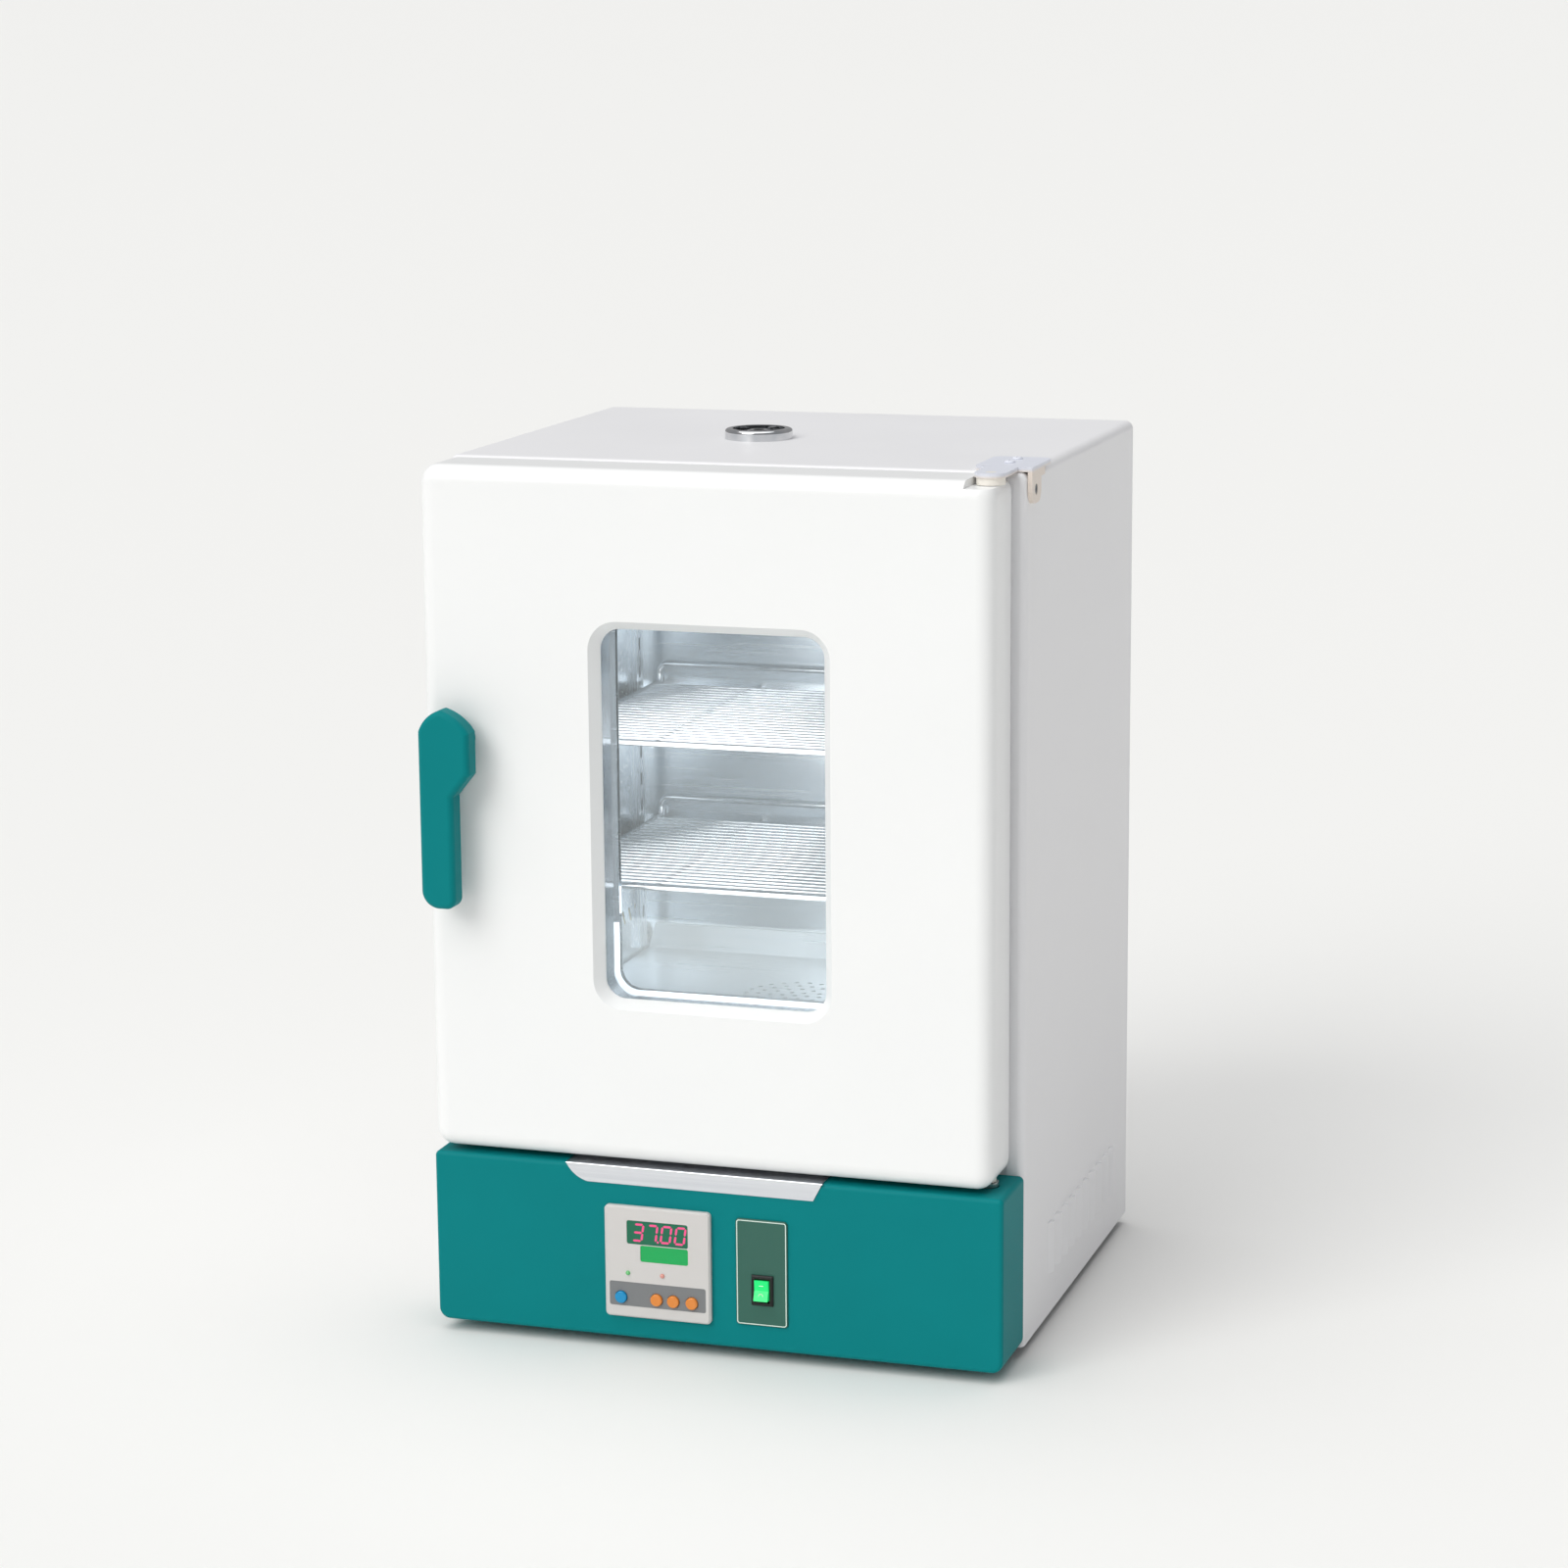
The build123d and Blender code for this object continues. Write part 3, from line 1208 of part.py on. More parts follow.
parts = {
    "outer_wrap": outer_wrap,
    "back_panel": back_panel,
    "base_pan": base_pan,
    "rubber_feet": rubber_feet,
    "foot_screws": foot_screws,
    "front_frame": front_frame,
    "strike_plate": strike_plate,
    "partition_plate": partition_plate,
    "chamber_liner": chamber_liner,
    "insulation": insulation,
    "heating_tube": heating_tube,
    "heater_clips": heater_clips,
    "floor_plate": floor_plate,
    "temperature_probe": temperature_probe,
    "rack_left": lambda: rack(-1),
    "rack_right": lambda: rack(1),
    "rails_lower": lambda: shelf_rails(shelf_levels[0]),
    "rails_upper": lambda: shelf_rails(shelf_levels[1]),
    "shelf_lower": lambda: shelf(shelf_levels[0]),
    "shelf_upper": lambda: shelf(shelf_levels[1]),
    "vent_duct": vent_duct,
    "vent_collar": vent_collar,
    "vent_damper": vent_damper,
    "upper_bracket": upper_bracket,
    "upper_pin": upper_pin,
    "lower_bracket": lower_bracket,
    "lower_pin": lower_pin,
    "hinge_screws": hinge_screws,
    "door_skin": door_skin,
    "door_panel": door_panel,
    "outer_pane": outer_pane,
    "inner_pane": inner_pane,
    "window_frame": window_frame,
    "window_seal": window_seal,
    "door_insulation": door_insulation,
    "hinge_blocks": hinge_blocks,
    "hinge_bushes": hinge_bushes,
    "door_gasket": door_gasket,
    "escutcheon": escutcheon,
    "handle_lever": handle_lever,
    "latch_spindle": latch_spindle,
    "fascia": fascia,
    "drip_lip": drip_lip,
    "controller_case": controller_case,
    "keypad_band": keypad_band,
    "display_upper": lambda: display_window(display_up),
    "display_lower": lambda: display_window(display_low),
    "signal_lamps": lambda: [signal_lamp(0), signal_lamp(1)],
    "set_button": lambda: push_button(0),
    "shift_button": lambda: push_button(1),
    "down_button": lambda: push_button(2),
    "up_button": lambda: push_button(3),
    "controller_board": controller_board,
    "switch_plate": switch_plate,
    "switch_body": switch_body,
    "rocker": rocker,
    "terminal_block": terminal_block,
    "power_relay": power_relay,
    "cable_gland": cable_gland,
    "panel_screws": panel_screws,
}

os.makedirs("parts", exist_ok=True)
for name, make in parts.items():
    shape = make()
    if isinstance(shape, list):
        shape = Compound(children=shape)
    export_step(shape, "parts/" + name + ".step")
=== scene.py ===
import bpy
import numpy as np
from mathutils import Matrix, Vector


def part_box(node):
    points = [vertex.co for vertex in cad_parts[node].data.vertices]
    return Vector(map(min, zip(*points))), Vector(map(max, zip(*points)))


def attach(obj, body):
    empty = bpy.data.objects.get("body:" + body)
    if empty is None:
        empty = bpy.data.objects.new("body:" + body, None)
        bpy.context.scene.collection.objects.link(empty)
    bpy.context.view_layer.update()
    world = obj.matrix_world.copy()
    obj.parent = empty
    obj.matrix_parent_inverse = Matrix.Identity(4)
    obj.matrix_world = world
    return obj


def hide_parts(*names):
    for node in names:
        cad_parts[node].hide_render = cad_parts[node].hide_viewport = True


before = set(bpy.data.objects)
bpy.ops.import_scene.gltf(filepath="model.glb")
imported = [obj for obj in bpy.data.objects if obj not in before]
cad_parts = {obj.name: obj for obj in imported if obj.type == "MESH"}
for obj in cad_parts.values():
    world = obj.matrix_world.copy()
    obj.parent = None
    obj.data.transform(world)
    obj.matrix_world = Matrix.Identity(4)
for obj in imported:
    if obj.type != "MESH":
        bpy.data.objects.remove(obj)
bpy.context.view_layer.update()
MM = 0.001


# Studio. A pale floor, a white sky and two large soft lamps, none of them part of the
# incubator. The camera stands to the right of the front and a little above the top.

def linear(code):
    """An sRGB hex colour as linear red, green, blue and alpha."""
    srgb = np.array([int(code[i:i + 2], 16) for i in (1, 3, 5)]) / 255
    rgb = np.where(srgb <= 0.04045, srgb / 12.92, ((srgb + 0.055) / 1.055) ** 2.4)
    return (*rgb.tolist(), 1.0)


def add(tree, kind, settings, inputs):
    """Adds one node, with its settings, and with its sockets set or linked."""
    node = tree.nodes.new(kind)
    for name, value in settings.items():
        setattr(node, name, value)
    for socket, value in inputs.items():
        if isinstance(value, bpy.types.NodeSocket):
            tree.links.new(value, node.inputs[socket])
        else:
            node.inputs[socket].default_value = value
    return node


def surface(name, shader):
    """A material with one shader on its own, its sockets from a dictionary. Returns
    the material, its tree, the shader and the place of each point on the object."""
    material = bpy.data.materials.new(name)
    material.use_nodes = True
    tree = material.node_tree
    tree.nodes.clear()
    place = add(tree, "ShaderNodeTexCoord", {}, {}).outputs["Object"]
    body = add(tree, "ShaderNodeBsdfPrincipled", {}, shader)
    add(tree, "ShaderNodeOutputMaterial", {}, {"Surface": body.outputs[0]})
    return material, tree, body, place


def quads(rows, cols, round_rows=False, round_cols=False):
    """Corner numbers of the faces of a grid of points, which may close on itself."""
    i, j = np.meshgrid(np.arange(rows if round_rows else rows - 1),
                       np.arange(cols if round_cols else cols - 1), indexing="ij")
    i2, j2 = (i + 1) % rows, (j + 1) % cols
    return np.stack([i * cols + j, i2 * cols + j, i2 * cols + j2, i * cols + j2], -1).reshape(-1, 4)


def piece(name, points, faces, material, smooth=True, body=None, instead=()):
    """A mesh object with its place in its points, in metres. A closed one is turned
    outwards by the sign of its volume, the sum of its triangles' a . (b x c) / 6."""
    mesh = bpy.data.meshes.new(name)
    mesh.from_pydata(np.asarray(points, float).tolist(), [], [list(map(int, f)) for f in faces])
    corners = np.empty(3 * len(mesh.vertices))
    mesh.vertices.foreach_get("co", corners)
    mesh.calc_loop_triangles()
    triangles = np.empty(3 * len(mesh.loop_triangles), int)
    mesh.loop_triangles.foreach_get("vertices", triangles)
    a, b, c = corners.reshape(-1, 3)[triangles.reshape(-1, 3)].transpose(1, 0, 2)
    if np.einsum("ij,ij->", a, np.cross(b, c)) < 0:
        mesh.flip_normals()
    mesh.materials.append(material)
    mesh.polygons.foreach_set("use_smooth", [smooth] * len(mesh.polygons))
    obj = bpy.data.objects.new(name, mesh)
    bpy.context.scene.collection.objects.link(obj)
    if body:
        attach(obj, body)
    if instead:
        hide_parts(*instead)
    return obj


# The floor is matt white paint, so it shows a soft shadow and no mirror image.
floor_paint, tree, shader, place = surface(
    "studio_floor", {"Roughness": 0.9, "Base Color": linear("#efefed")})
half = 500.0
corners = [(-half, -half, 0), (half, -half, 0), (half, half, 0), (-half, half, 0)]
floor = piece("floor", corners, [(0, 1, 2, 3)], floor_paint, smooth=False)

sky = bpy.data.worlds.new("white_sky")
bpy.context.scene.world = sky
sky.use_nodes = True
sky.node_tree.nodes["Background"].inputs["Color"].default_value = linear("#fdfdff")
sky.node_tree.nodes["Background"].inputs["Strength"].default_value = 0.32


def lamp(kind, name, place, back, settings):
    """A lamp at a point, with the direction back towards it from what it lights."""
    light = bpy.data.lights.new(name, kind)
    for key, value in settings.items():
        setattr(light, key, value)
    obj = bpy.data.objects.new(name, light)
    bpy.context.scene.collection.objects.link(obj)
    back = np.array(back, float) / np.linalg.norm(back)
    right = np.cross((0.01, 0, 1), back)
    right /= np.linalg.norm(right)
    turn = np.eye(4)
    turn[:3, 0], turn[:3, 1], turn[:3, 2], turn[:3, 3] = right, np.cross(back, right), back, place
    obj.matrix_world = Matrix(turn.tolist())
    obj.visible_camera = False


lamp("SUN", "key", (-1, -2, 2), (-0.35, -0.75, 0.56),
     {"energy": 1.42, "angle": np.radians(38), "color": linear("#fffefb")[:3]})
lamp("SUN", "overhead", (0, 0, 3), (-0.1, -0.1, 1.0), {"energy": 1.55, "angle": np.radians(70)})
low, high = (np.array(corner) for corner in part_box("chamber_liner"))
lamp("AREA", "window_light", (0.0, low[1] + 0.004, (low[2] + high[2]) / 2), (0, -1, 0.2),
     {"shape": "RECTANGLE", "size": 0.2, "size_y": 0.26, "energy": 0.46})
lamp("AREA", "ceiling_light", (0.0, low[1] + 0.06, high[2] - 0.015), (0, -0.35, 1),
     {"shape": "RECTANGLE", "size": 0.22, "size_y": 0.06, "energy": 0.17})

yaw, pitch, roll = 0.30998, 0.20295, -0.0081186
ahead = np.array([-np.sin(yaw) * np.cos(pitch), np.cos(yaw) * np.cos(pitch), -np.sin(pitch)])
level = np.array([np.cos(yaw), np.sin(yaw), 0.0])
upward = np.cross(level, ahead)
camera = bpy.data.cameras.new("camera")
camera.sensor_width = 36.0
camera.lens = 89.88
camera_at = bpy.data.objects.new("camera", camera)
bpy.context.scene.collection.objects.link(camera_at)
turn = np.eye(4)
turn[:3, 0] = np.cos(roll) * level + np.sin(roll) * upward
turn[:3, 1] = -np.sin(roll) * level + np.cos(roll) * upward
turn[:3, 2] = -ahead
door_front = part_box("fascia")[0].y
turn[:3, 3] = (0.8116, -2.3699 + door_front, 0.9093)
camera_at.matrix_world = Matrix(turn.tolist())
bpy.context.scene.camera = camera_at
bpy.context.scene.view_settings.view_transform = "Standard"


# Cabinet sheets. Polyester powder coat, baked on sheet steel: the wrap, the back, the
# front frame and the door. The eye gets a clean white with soft highlights, which a
# faint orange peel breaks up.

def powder_coat(name, code, shade_code, gloss):
    """Peel bumps 2 mm across, coarser than the real ones so that they show, and a slow
    change of tone over 150 mm. gloss is the middle roughness."""
    coat = {"Coat Weight": 0.1, "Coat Roughness": 0.15, "Specular IOR Level": 0.35}
    material, tree, body, place = surface(name, coat)
    peel = add(tree, "ShaderNodeTexNoise", {}, {"Vector": place, "Scale": 1 / (2 * MM), "Detail": 2.0})
    slow = add(tree, "ShaderNodeTexNoise", {}, {"Vector": place, "Scale": 1 / (150 * MM), "Detail": 3.0})
    tone = add(tree, "ShaderNodeMix", {"data_type": "RGBA"},
               {0: slow.outputs["Fac"], 6: linear(shade_code), 7: linear(code)})
    rough = add(tree, "ShaderNodeMapRange", {},
                {"Value": slow.outputs["Fac"], "To Min": gloss - 0.04, "To Max": gloss + 0.06})
    bump = add(tree, "ShaderNodeBump", {},
               {"Height": peel.outputs["Fac"], "Strength": 0.12, "Distance": 0.05 * MM})
    tree.links.new(tone.outputs[2], body.inputs["Base Color"])
    tree.links.new(rough.outputs[0], body.inputs["Roughness"])
    tree.links.new(bump.outputs[0], body.inputs["Normal"])
    return material


def dress(material, *names):
    """Gives carried-over CAD nodes a material."""
    for name in names:
        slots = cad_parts[name].data.materials
        slots.clear()
        slots.append(material)


cabinet_coat = powder_coat("cabinet_powder_coat", "#f0f0f2", "#ebebed", 0.42)
door_coat = powder_coat("door_powder_coat", "#f5f6f6", "#f1f2f2", 0.30)
dress(cabinet_coat, "outer_wrap", "back_panel", "front_frame")
dress(door_coat, "door_skin")


# Zinc-plated steel. The base pan, the partition, brackets, blocks and screws are pressed
# or turned, then plated. The eye gets a dull blue-grey metal with cloudy patches.

def zinc_plate(name, code, gloss):
    """Clouds of tone about 12 mm across over a fine 0.5 mm tooth."""
    material, tree, body, place = surface(name, {"Metallic": 1.0})
    cloud = add(tree, "ShaderNodeTexNoise", {}, {"Vector": place, "Scale": 1 / (12 * MM), "Detail": 4.0})
    tooth = add(tree, "ShaderNodeTexNoise", {}, {"Vector": place, "Scale": 1 / (0.5 * MM), "Detail": 1.0})
    ramp = add(tree, "ShaderNodeMix", {"data_type": "RGBA"},
               {0: cloud.outputs["Fac"], 6: linear("#7c8085"), 7: linear(code)})
    rough = add(tree, "ShaderNodeMapRange", {},
                {"Value": cloud.outputs["Fac"], "To Min": gloss - 0.08, "To Max": gloss + 0.1})
    bump = add(tree, "ShaderNodeBump", {},
               {"Height": tooth.outputs["Fac"], "Strength": 0.1, "Distance": 0.02 * MM})
    tree.links.new(ramp.outputs[2], body.inputs["Base Color"])
    tree.links.new(rough.outputs[0], body.inputs["Roughness"])
    tree.links.new(bump.outputs[0], body.inputs["Normal"])
    return material


zinc = zinc_plate("zinc_plated_steel", "#b6bbc0", 0.42)
dress(zinc, "base_pan", "partition_plate", "foot_screws", "panel_screws", "lower_bracket", "hinge_blocks")


# Stainless steel sheet. The chamber, its floor, the racks, the keeper and the lip under
# the door are cold-rolled, with a fine grain along the rolling direction. The eye gets a
# cool bright metal whose reflections smear into streaks.

def stainless(name, code, dark_code, gloss, grain):
    """Streaks 160 mm long and 2.5 mm wide, coarser than the real grain so that they show,
    on a sheet with shallow waves 90 mm long. grain squeezes the pattern along the streaks."""
    material, tree, body, place = surface(name, {"Metallic": 1.0})
    lie = add(tree, "ShaderNodeMapping", {}, {"Vector": place, "Scale": grain})
    streak = add(tree, "ShaderNodeTexNoise", {},
                 {"Vector": lie.outputs[0], "Scale": 1 / (2.5 * MM), "Detail": 3.0})
    pool = add(tree, "ShaderNodeTexNoise", {}, {"Vector": place, "Scale": 1 / (90 * MM), "Detail": 2.0})
    tone = add(tree, "ShaderNodeMix", {"data_type": "RGBA"},
               {0: streak.outputs["Fac"], 6: linear(dark_code), 7: linear(code)})
    rough = add(tree, "ShaderNodeMapRange", {},
                {"Value": streak.outputs["Fac"], "To Min": gloss - 0.05, "To Max": gloss + 0.08})
    sheet = add(tree, "ShaderNodeBump", {},
                {"Height": pool.outputs["Fac"], "Strength": 0.35, "Distance": 1.2 * MM})
    bump = add(tree, "ShaderNodeBump", {},
               {"Height": streak.outputs["Fac"], "Strength": 0.08, "Distance": 0.03 * MM,
                                            "Normal": sheet.outputs[0]})
    tree.links.new(tone.outputs[2], body.inputs["Base Color"])
    tree.links.new(rough.outputs[0], body.inputs["Roughness"])
    tree.links.new(bump.outputs[0], body.inputs["Normal"])
    return material


along_x, along_z = (0.016, 1.0, 1.0), (1.0, 1.0, 0.016)
liner_steel = stainless("rolled_stainless", "#dfe6eb", "#c6d0d8", 0.24, along_x)
floor_steel = stainless("floor_stainless", "#e4e9ec", "#cfd8de", 0.28, along_x)
rack_steel = stainless("folded_stainless", "#cbd2d8", "#aab3ba", 0.26, along_z)
lip_steel = stainless("lip_stainless", "#eceef1", "#c9ccd3", 0.18, along_x)
dress(liner_steel, "chamber_liner", "door_panel", "vent_duct")
# The box round the window was polished after folding, so it mirrors the most.
dress(stainless("bright_stainless", "#d3d9de", "#9fa7ae", 0.12, along_z), "window_frame")
dress(floor_steel, "floor_plate")
dress(rack_steel, "rack_left", "rack_right", "heater_clips", "temperature_probe")
# The rails are given a nearly black steel colour, painted shade for the shadowed slot between each shelf
# and the chamber wall.
dress(stainless("rail_steel_painted_shade", "#5c6166", "#3b3f43", 0.22, along_x), "rails_lower", "rails_upper")
dress(lip_steel, "drip_lip", "strike_plate")


# Heating tube. A resistance wire in a drawn and bent steel sheath, held by two clips.
# The heat has turned the sheath, so the eye gets dark metal with brown and straw bands.

material, tree, body, place = surface("heat_tinted_sheath", {"Metallic": 1.0, "Roughness": 0.38})
tint = add(tree, "ShaderNodeTexNoise", {}, {"Vector": place, "Scale": 1 / (35 * MM), "Detail": 3.0})
bands = add(tree, "ShaderNodeValToRGB", {}, {"Fac": tint.outputs["Fac"]})
for stop, code in ((0.35, "#4d453f"), (0.5, "#6a5a48")):
    bands.color_ramp.elements.new(stop).color = linear(code)
bands.color_ramp.elements[0].color = linear("#3c3a3a")
bands.color_ramp.elements[-1].color = linear("#8a7a5e")
tree.links.new(bands.outputs[0], body.inputs["Base Color"])
dress(material, "heating_tube")


# Wire shelves. Steel rod and wire, welded and polished, resting on the folded rails.
# Drawn wire is nearly a mirror across its width, so each wire shows one bright line.

def polished_wire(name, code, gloss):
    """Tone changes 8 mm long, as a drawing die leaves them. gloss is the least roughness."""
    material, tree, body, place = surface(name, {"Metallic": 1.0})
    tone = add(tree, "ShaderNodeTexNoise", {}, {"Vector": place, "Scale": 1 / (8 * MM), "Detail": 1.0})
    mix = add(tree, "ShaderNodeMix", {"data_type": "RGBA"},
              {0: tone.outputs["Fac"], 6: linear("#b9bfc4"), 7: linear(code)})
    rough = add(tree, "ShaderNodeMapRange", {},
                {"Value": tone.outputs["Fac"], "To Min": gloss, "To Max": gloss + 0.08})
    tree.links.new(mix.outputs[2], body.inputs["Base Color"])
    tree.links.new(rough.outputs[0], body.inputs["Roughness"])
    return material


wire_steel = polished_wire("polished_wire", "#eef1f3", 0.14)


def rod(path, normal, radius, sides=12):
    """A round rod along a flat path: a ring of points round each point of the path, at
    right angles to it, and a cap on both ends. Returns points and faces."""
    path = np.asarray(path, float)
    normal = np.asarray(normal, float)
    along = np.gradient(path, axis=0)
    along /= np.linalg.norm(along, axis=1, keepdims=True)
    turn = 2 * np.pi * np.arange(sides) / sides
    ring = np.cos(turn)[:, None] * normal + np.sin(turn)[:, None] * np.cross(along, normal)[:, None]
    points = (path[:, None] + radius * ring).reshape(-1, 3)
    faces = [tuple(q) for q in quads(len(path), sides, round_cols=True)]
    last = len(points) - sides
    return points, faces + [tuple(range(sides))[::-1], tuple(range(last, last + sides))]


def bent(corners, radius, steps=7):
    """A path through corners, each rounded by an arc in the plane of its two sides."""
    corners = np.asarray(corners, float)
    path = [corners[:1]]
    for before, at, after in zip(corners[:-2], corners[1:-1], corners[2:]):
        u = (before - at) / np.linalg.norm(before - at)
        v = (after - at) / np.linalg.norm(after - at)
        centre = at + radius * (u + v)
        t = np.linspace(0, np.pi / 2, steps)[:, None]
        path.append(centre - radius * (np.cos(t) * v + np.sin(t) * u))
    return np.vstack(path + [corners[-1:]])


def together(parts):
    """Several sets of points and faces as one."""
    points, faces, start = [], [], 0
    for p, f in parts:
        points.append(p)
        faces += [tuple(np.add(face, start)) for face in f]
        start += len(p)
    return np.vstack(points), faces


def wire_shelf(name):
    """A bent rod round three sides, a raised rod along the back, two braces below and
    wires across at an even pitch, a little higher than the frame's middle."""
    low, high = (np.array(corner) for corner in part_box(name))
    r, wire, brace = 2 * MM, 1 * MM, 1.5 * MM
    deck_drop, pitch, ends, brace_x = 13.9 * MM, 9.5 * MM, 14 * MM, 65 * MM
    wire_up, brace_down = 0.6 * MM, 1.4 * MM
    x0, x1, y0, y1 = low[0] + r, high[0] - r, low[1] + r, high[1] - r
    z1 = high[2] - r
    z = z1 - deck_drop
    up, back = (0, 0, 1), (0, 1, 0)
    parts = [rod(bent([(x0, y1, z), (x0, y0, z), (x1, y0, z), (x1, y1, z)], 9 * MM), up, r),
             rod(bent([(x0, y1, z), (x0, y1, z1), (x1, y1, z1), (x1, y1, z)], 6 * MM), back, r)]
    count = int((y1 - y0 - ends) / pitch)
    for y in (y0 + y1) / 2 + pitch * (np.arange(count) - (count - 1) / 2):
        parts.append(rod([(x0, y, z + wire_up), (x1, y, z + wire_up)], up, wire, 8))
    for x in (-brace_x, brace_x):
        parts.append(rod([(x, y0, z - brace_down), (x, y1, z - brace_down)], up, brace, 10))
    points, faces = together(parts)
    piece(name + "_wires", points, faces, wire_steel, body=name, instead=(name,))


wire_shelf("shelf_lower")
wire_shelf("shelf_upper")


# Chromed vent. A turned brass collar and its pressed damper disc, plated bright. The eye
# gets a near mirror, dark where it faces the sides of the room.

chrome = polished_wire("bright_chrome", "#e8e6e6", 0.07)
dress(chrome, "vent_collar", "vent_damper")


# Hinges. The upper bracket is a folded steel plate in one white coat. Its flat is given a cool
# white and its wing down the side a cream: painted light on the flat that faces up, painted
# shade on the wing that faces sideways. The knuckle round the pin is cream of its own. Pan-head
# screws hold it. The lower bracket and its pin are plated.

# Both coats are smoother than the cabinet's, so they mirror the lamps a little more.
plate_coat = powder_coat("hinge_plate_coat", "#e2e5ee", "#dadde8", 0.34)
bracket_light_and_shade_coat, tree, body, place = surface("hinge_bracket_painted_light", {"Roughness": 0.38, "Specular IOR Level": 0.4})
height = add(tree, "ShaderNodeSeparateXYZ", {}, {0: place})
low, high = (np.array(corner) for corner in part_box("upper_bracket"))
# The height splits the one coat: below the flat's top the wing takes a cream as painted shade, above it the
# flat takes a cool white as painted light.
painted_light_split = add(tree, "ShaderNodeMapRange", {},
            {"Value": height.outputs["Z"],
             "From Min": float(high[2]) - 3.4 * MM, "From Max": float(high[2]) - 1.0 * MM})
peel = add(tree, "ShaderNodeTexNoise", {}, {"Vector": place, "Scale": 1 / (2 * MM), "Detail": 2.0})
wing_painted_shade_tone = add(tree, "ShaderNodeMix", {"data_type": "RGBA"},
           {0: peel.outputs["Fac"], 6: linear("#e9ded4"), 7: linear("#e3d7cc")})
flat_painted_light_tone = add(tree, "ShaderNodeMix", {"data_type": "RGBA"},
           {0: peel.outputs["Fac"], 6: linear("#e2e5ee"), 7: linear("#dadde8")})
tone = add(tree, "ShaderNodeMix", {"data_type": "RGBA"},
           {0: painted_light_split.outputs[0], 6: wing_painted_shade_tone.outputs[2], 7: flat_painted_light_tone.outputs[2]})
bump = add(tree, "ShaderNodeBump", {},
           {"Height": peel.outputs["Fac"], "Strength": 0.12, "Distance": 0.05 * MM})
tree.links.new(tone.outputs[2], body.inputs["Base Color"])
tree.links.new(bump.outputs[0], body.inputs["Normal"])
dress(bracket_light_and_shade_coat, "upper_bracket")
turned_steel = zinc_plate("turned_steel", "#dcd8d2", 0.24)
dress(powder_coat("knuckle_coat", "#f6f2ea", "#efeae0", 0.3), "upper_pin")
dress(turned_steel, "lower_pin", "latch_spindle")


def facing(axis):
    """The turn that takes +Z to an axis, as three columns."""
    axis = np.asarray(axis, float)
    helper = np.array([0, 0, 1.0]) if abs(axis[2]) < 0.9 else np.array([0, 1.0, 0])
    right = np.cross(helper, axis)
    right /= np.linalg.norm(right)
    return np.stack([right, np.cross(axis, right), axis], 1)


def screw(place, axis, radius, height):
    """A pan head with a cross recess. Its top is a height over a grid of rings and
    spokes: a shallow dome, with a cross of two slots pressed in; a wall and a flat
    underside close it."""
    ring = np.array([0.08, 0.16, 0.24, 0.32, 0.4, 0.5, 0.6, 0.72, 0.84, 0.93, 0.98, 1.0]) * radius
    turn = 2 * np.pi * np.arange(48) / 48
    r, t = np.meshgrid(ring, turn, indexing="ij")
    x, y = r * np.cos(t), r * np.sin(t)
    dome = height * (1 - 0.35 * (r / radius) ** 2 - 0.35 * np.clip(r / radius - 0.8, 0, 1) / 0.2)
    slot = np.minimum(np.abs(x), np.abs(y)) / radius
    cut = np.clip((0.13 - slot) / 0.05, 0, 1) * np.clip((0.62 - r / radius) / 0.1, 0, 1)
    top = np.stack([x, y, dome - 0.55 * height * cut], -1)
    foot = np.stack([x[-1], y[-1], np.zeros(48)], -1)[None]
    rows = np.vstack([top, foot])
    points = np.vstack([rows.reshape(-1, 3), [[0, 0, 0.45 * height], [0, 0, 0]]])
    faces = [tuple(q) for q in quads(len(rows), 48, round_cols=True)]
    n = len(points)
    faces += [(n - 2, k, (k + 1) % 48) for k in range(48)]
    faces += [(n - 1, n - 50 + (k + 1) % 48, n - 50 + k) for k in range(48)]
    return points @ facing(axis).T + np.asarray(place, float), faces


# A black passivated screw, which shows on the wing as one dark spot.
dark_steel = zinc_plate("dark_plated_screw", "#6a6b70", 0.4)
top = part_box("upper_bracket")[1]
low, high = (np.array(corner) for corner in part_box("hinge_screws"))
head_r, head_h, plate_in, lower_pitch = 3.6 * MM, 1.6 * MM, 21 * MM, 12 * MM
wing_back, wing_down, wing_r, wing_h = 13.5 * MM, 15 * MM, 3.5 * MM, 0.9 * MM
heads = [screw((top.x - plate_in, top.y - d * MM, top.z), (0, 0, 1), head_r, head_h) for d in (12, 32)]
points, faces = together(heads)
piece("bracket_screws", points, faces, plate_coat, body="cabinet",
      instead=("hinge_screws",))
case_y0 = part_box("outer_wrap")[0].y
points, faces = screw((top.x - wing_h, case_y0 + wing_back, top.z - wing_down), (1, 0, 0), wing_r, wing_h)
piece("wing_screw", points, faces, dark_steel, body="cabinet")
heads = [screw((x, low[1] + head_h, low[2] + head_r), (0, -1, 0), head_r, head_h)
         for x in (low[0] + head_r, low[0] + head_r + lower_pitch)]
points, faces = together(heads)
piece("lower_screws", points, faces, zinc, body="cabinet")


# Back panel screws. Ten zinc-plated pan heads with a cross recess, turned into the
# wrap's flanges through the back panel: three down each side, two along top and bottom.

low, high = (np.array(corner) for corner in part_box("panel_screws"))
r, inset, half_pitch = head_r, 16 * MM, 90 * MM
levels = (low[2] + inset + r, (low[2] + high[2]) / 2, high[2] - inset - r)
places = [(x, z) for x in (low[0] + r, high[0] - r) for z in levels]
places += [(x, z) for x in (-half_pitch, half_pitch) for z in (low[2] + r, high[2] - r)]
points, faces = together([screw((x, low[1], z), (0, 1, 0), r, head_h) for x, z in places])
piece("back_screws", points, faces, zinc, body="cabinet", instead=("panel_screws",))


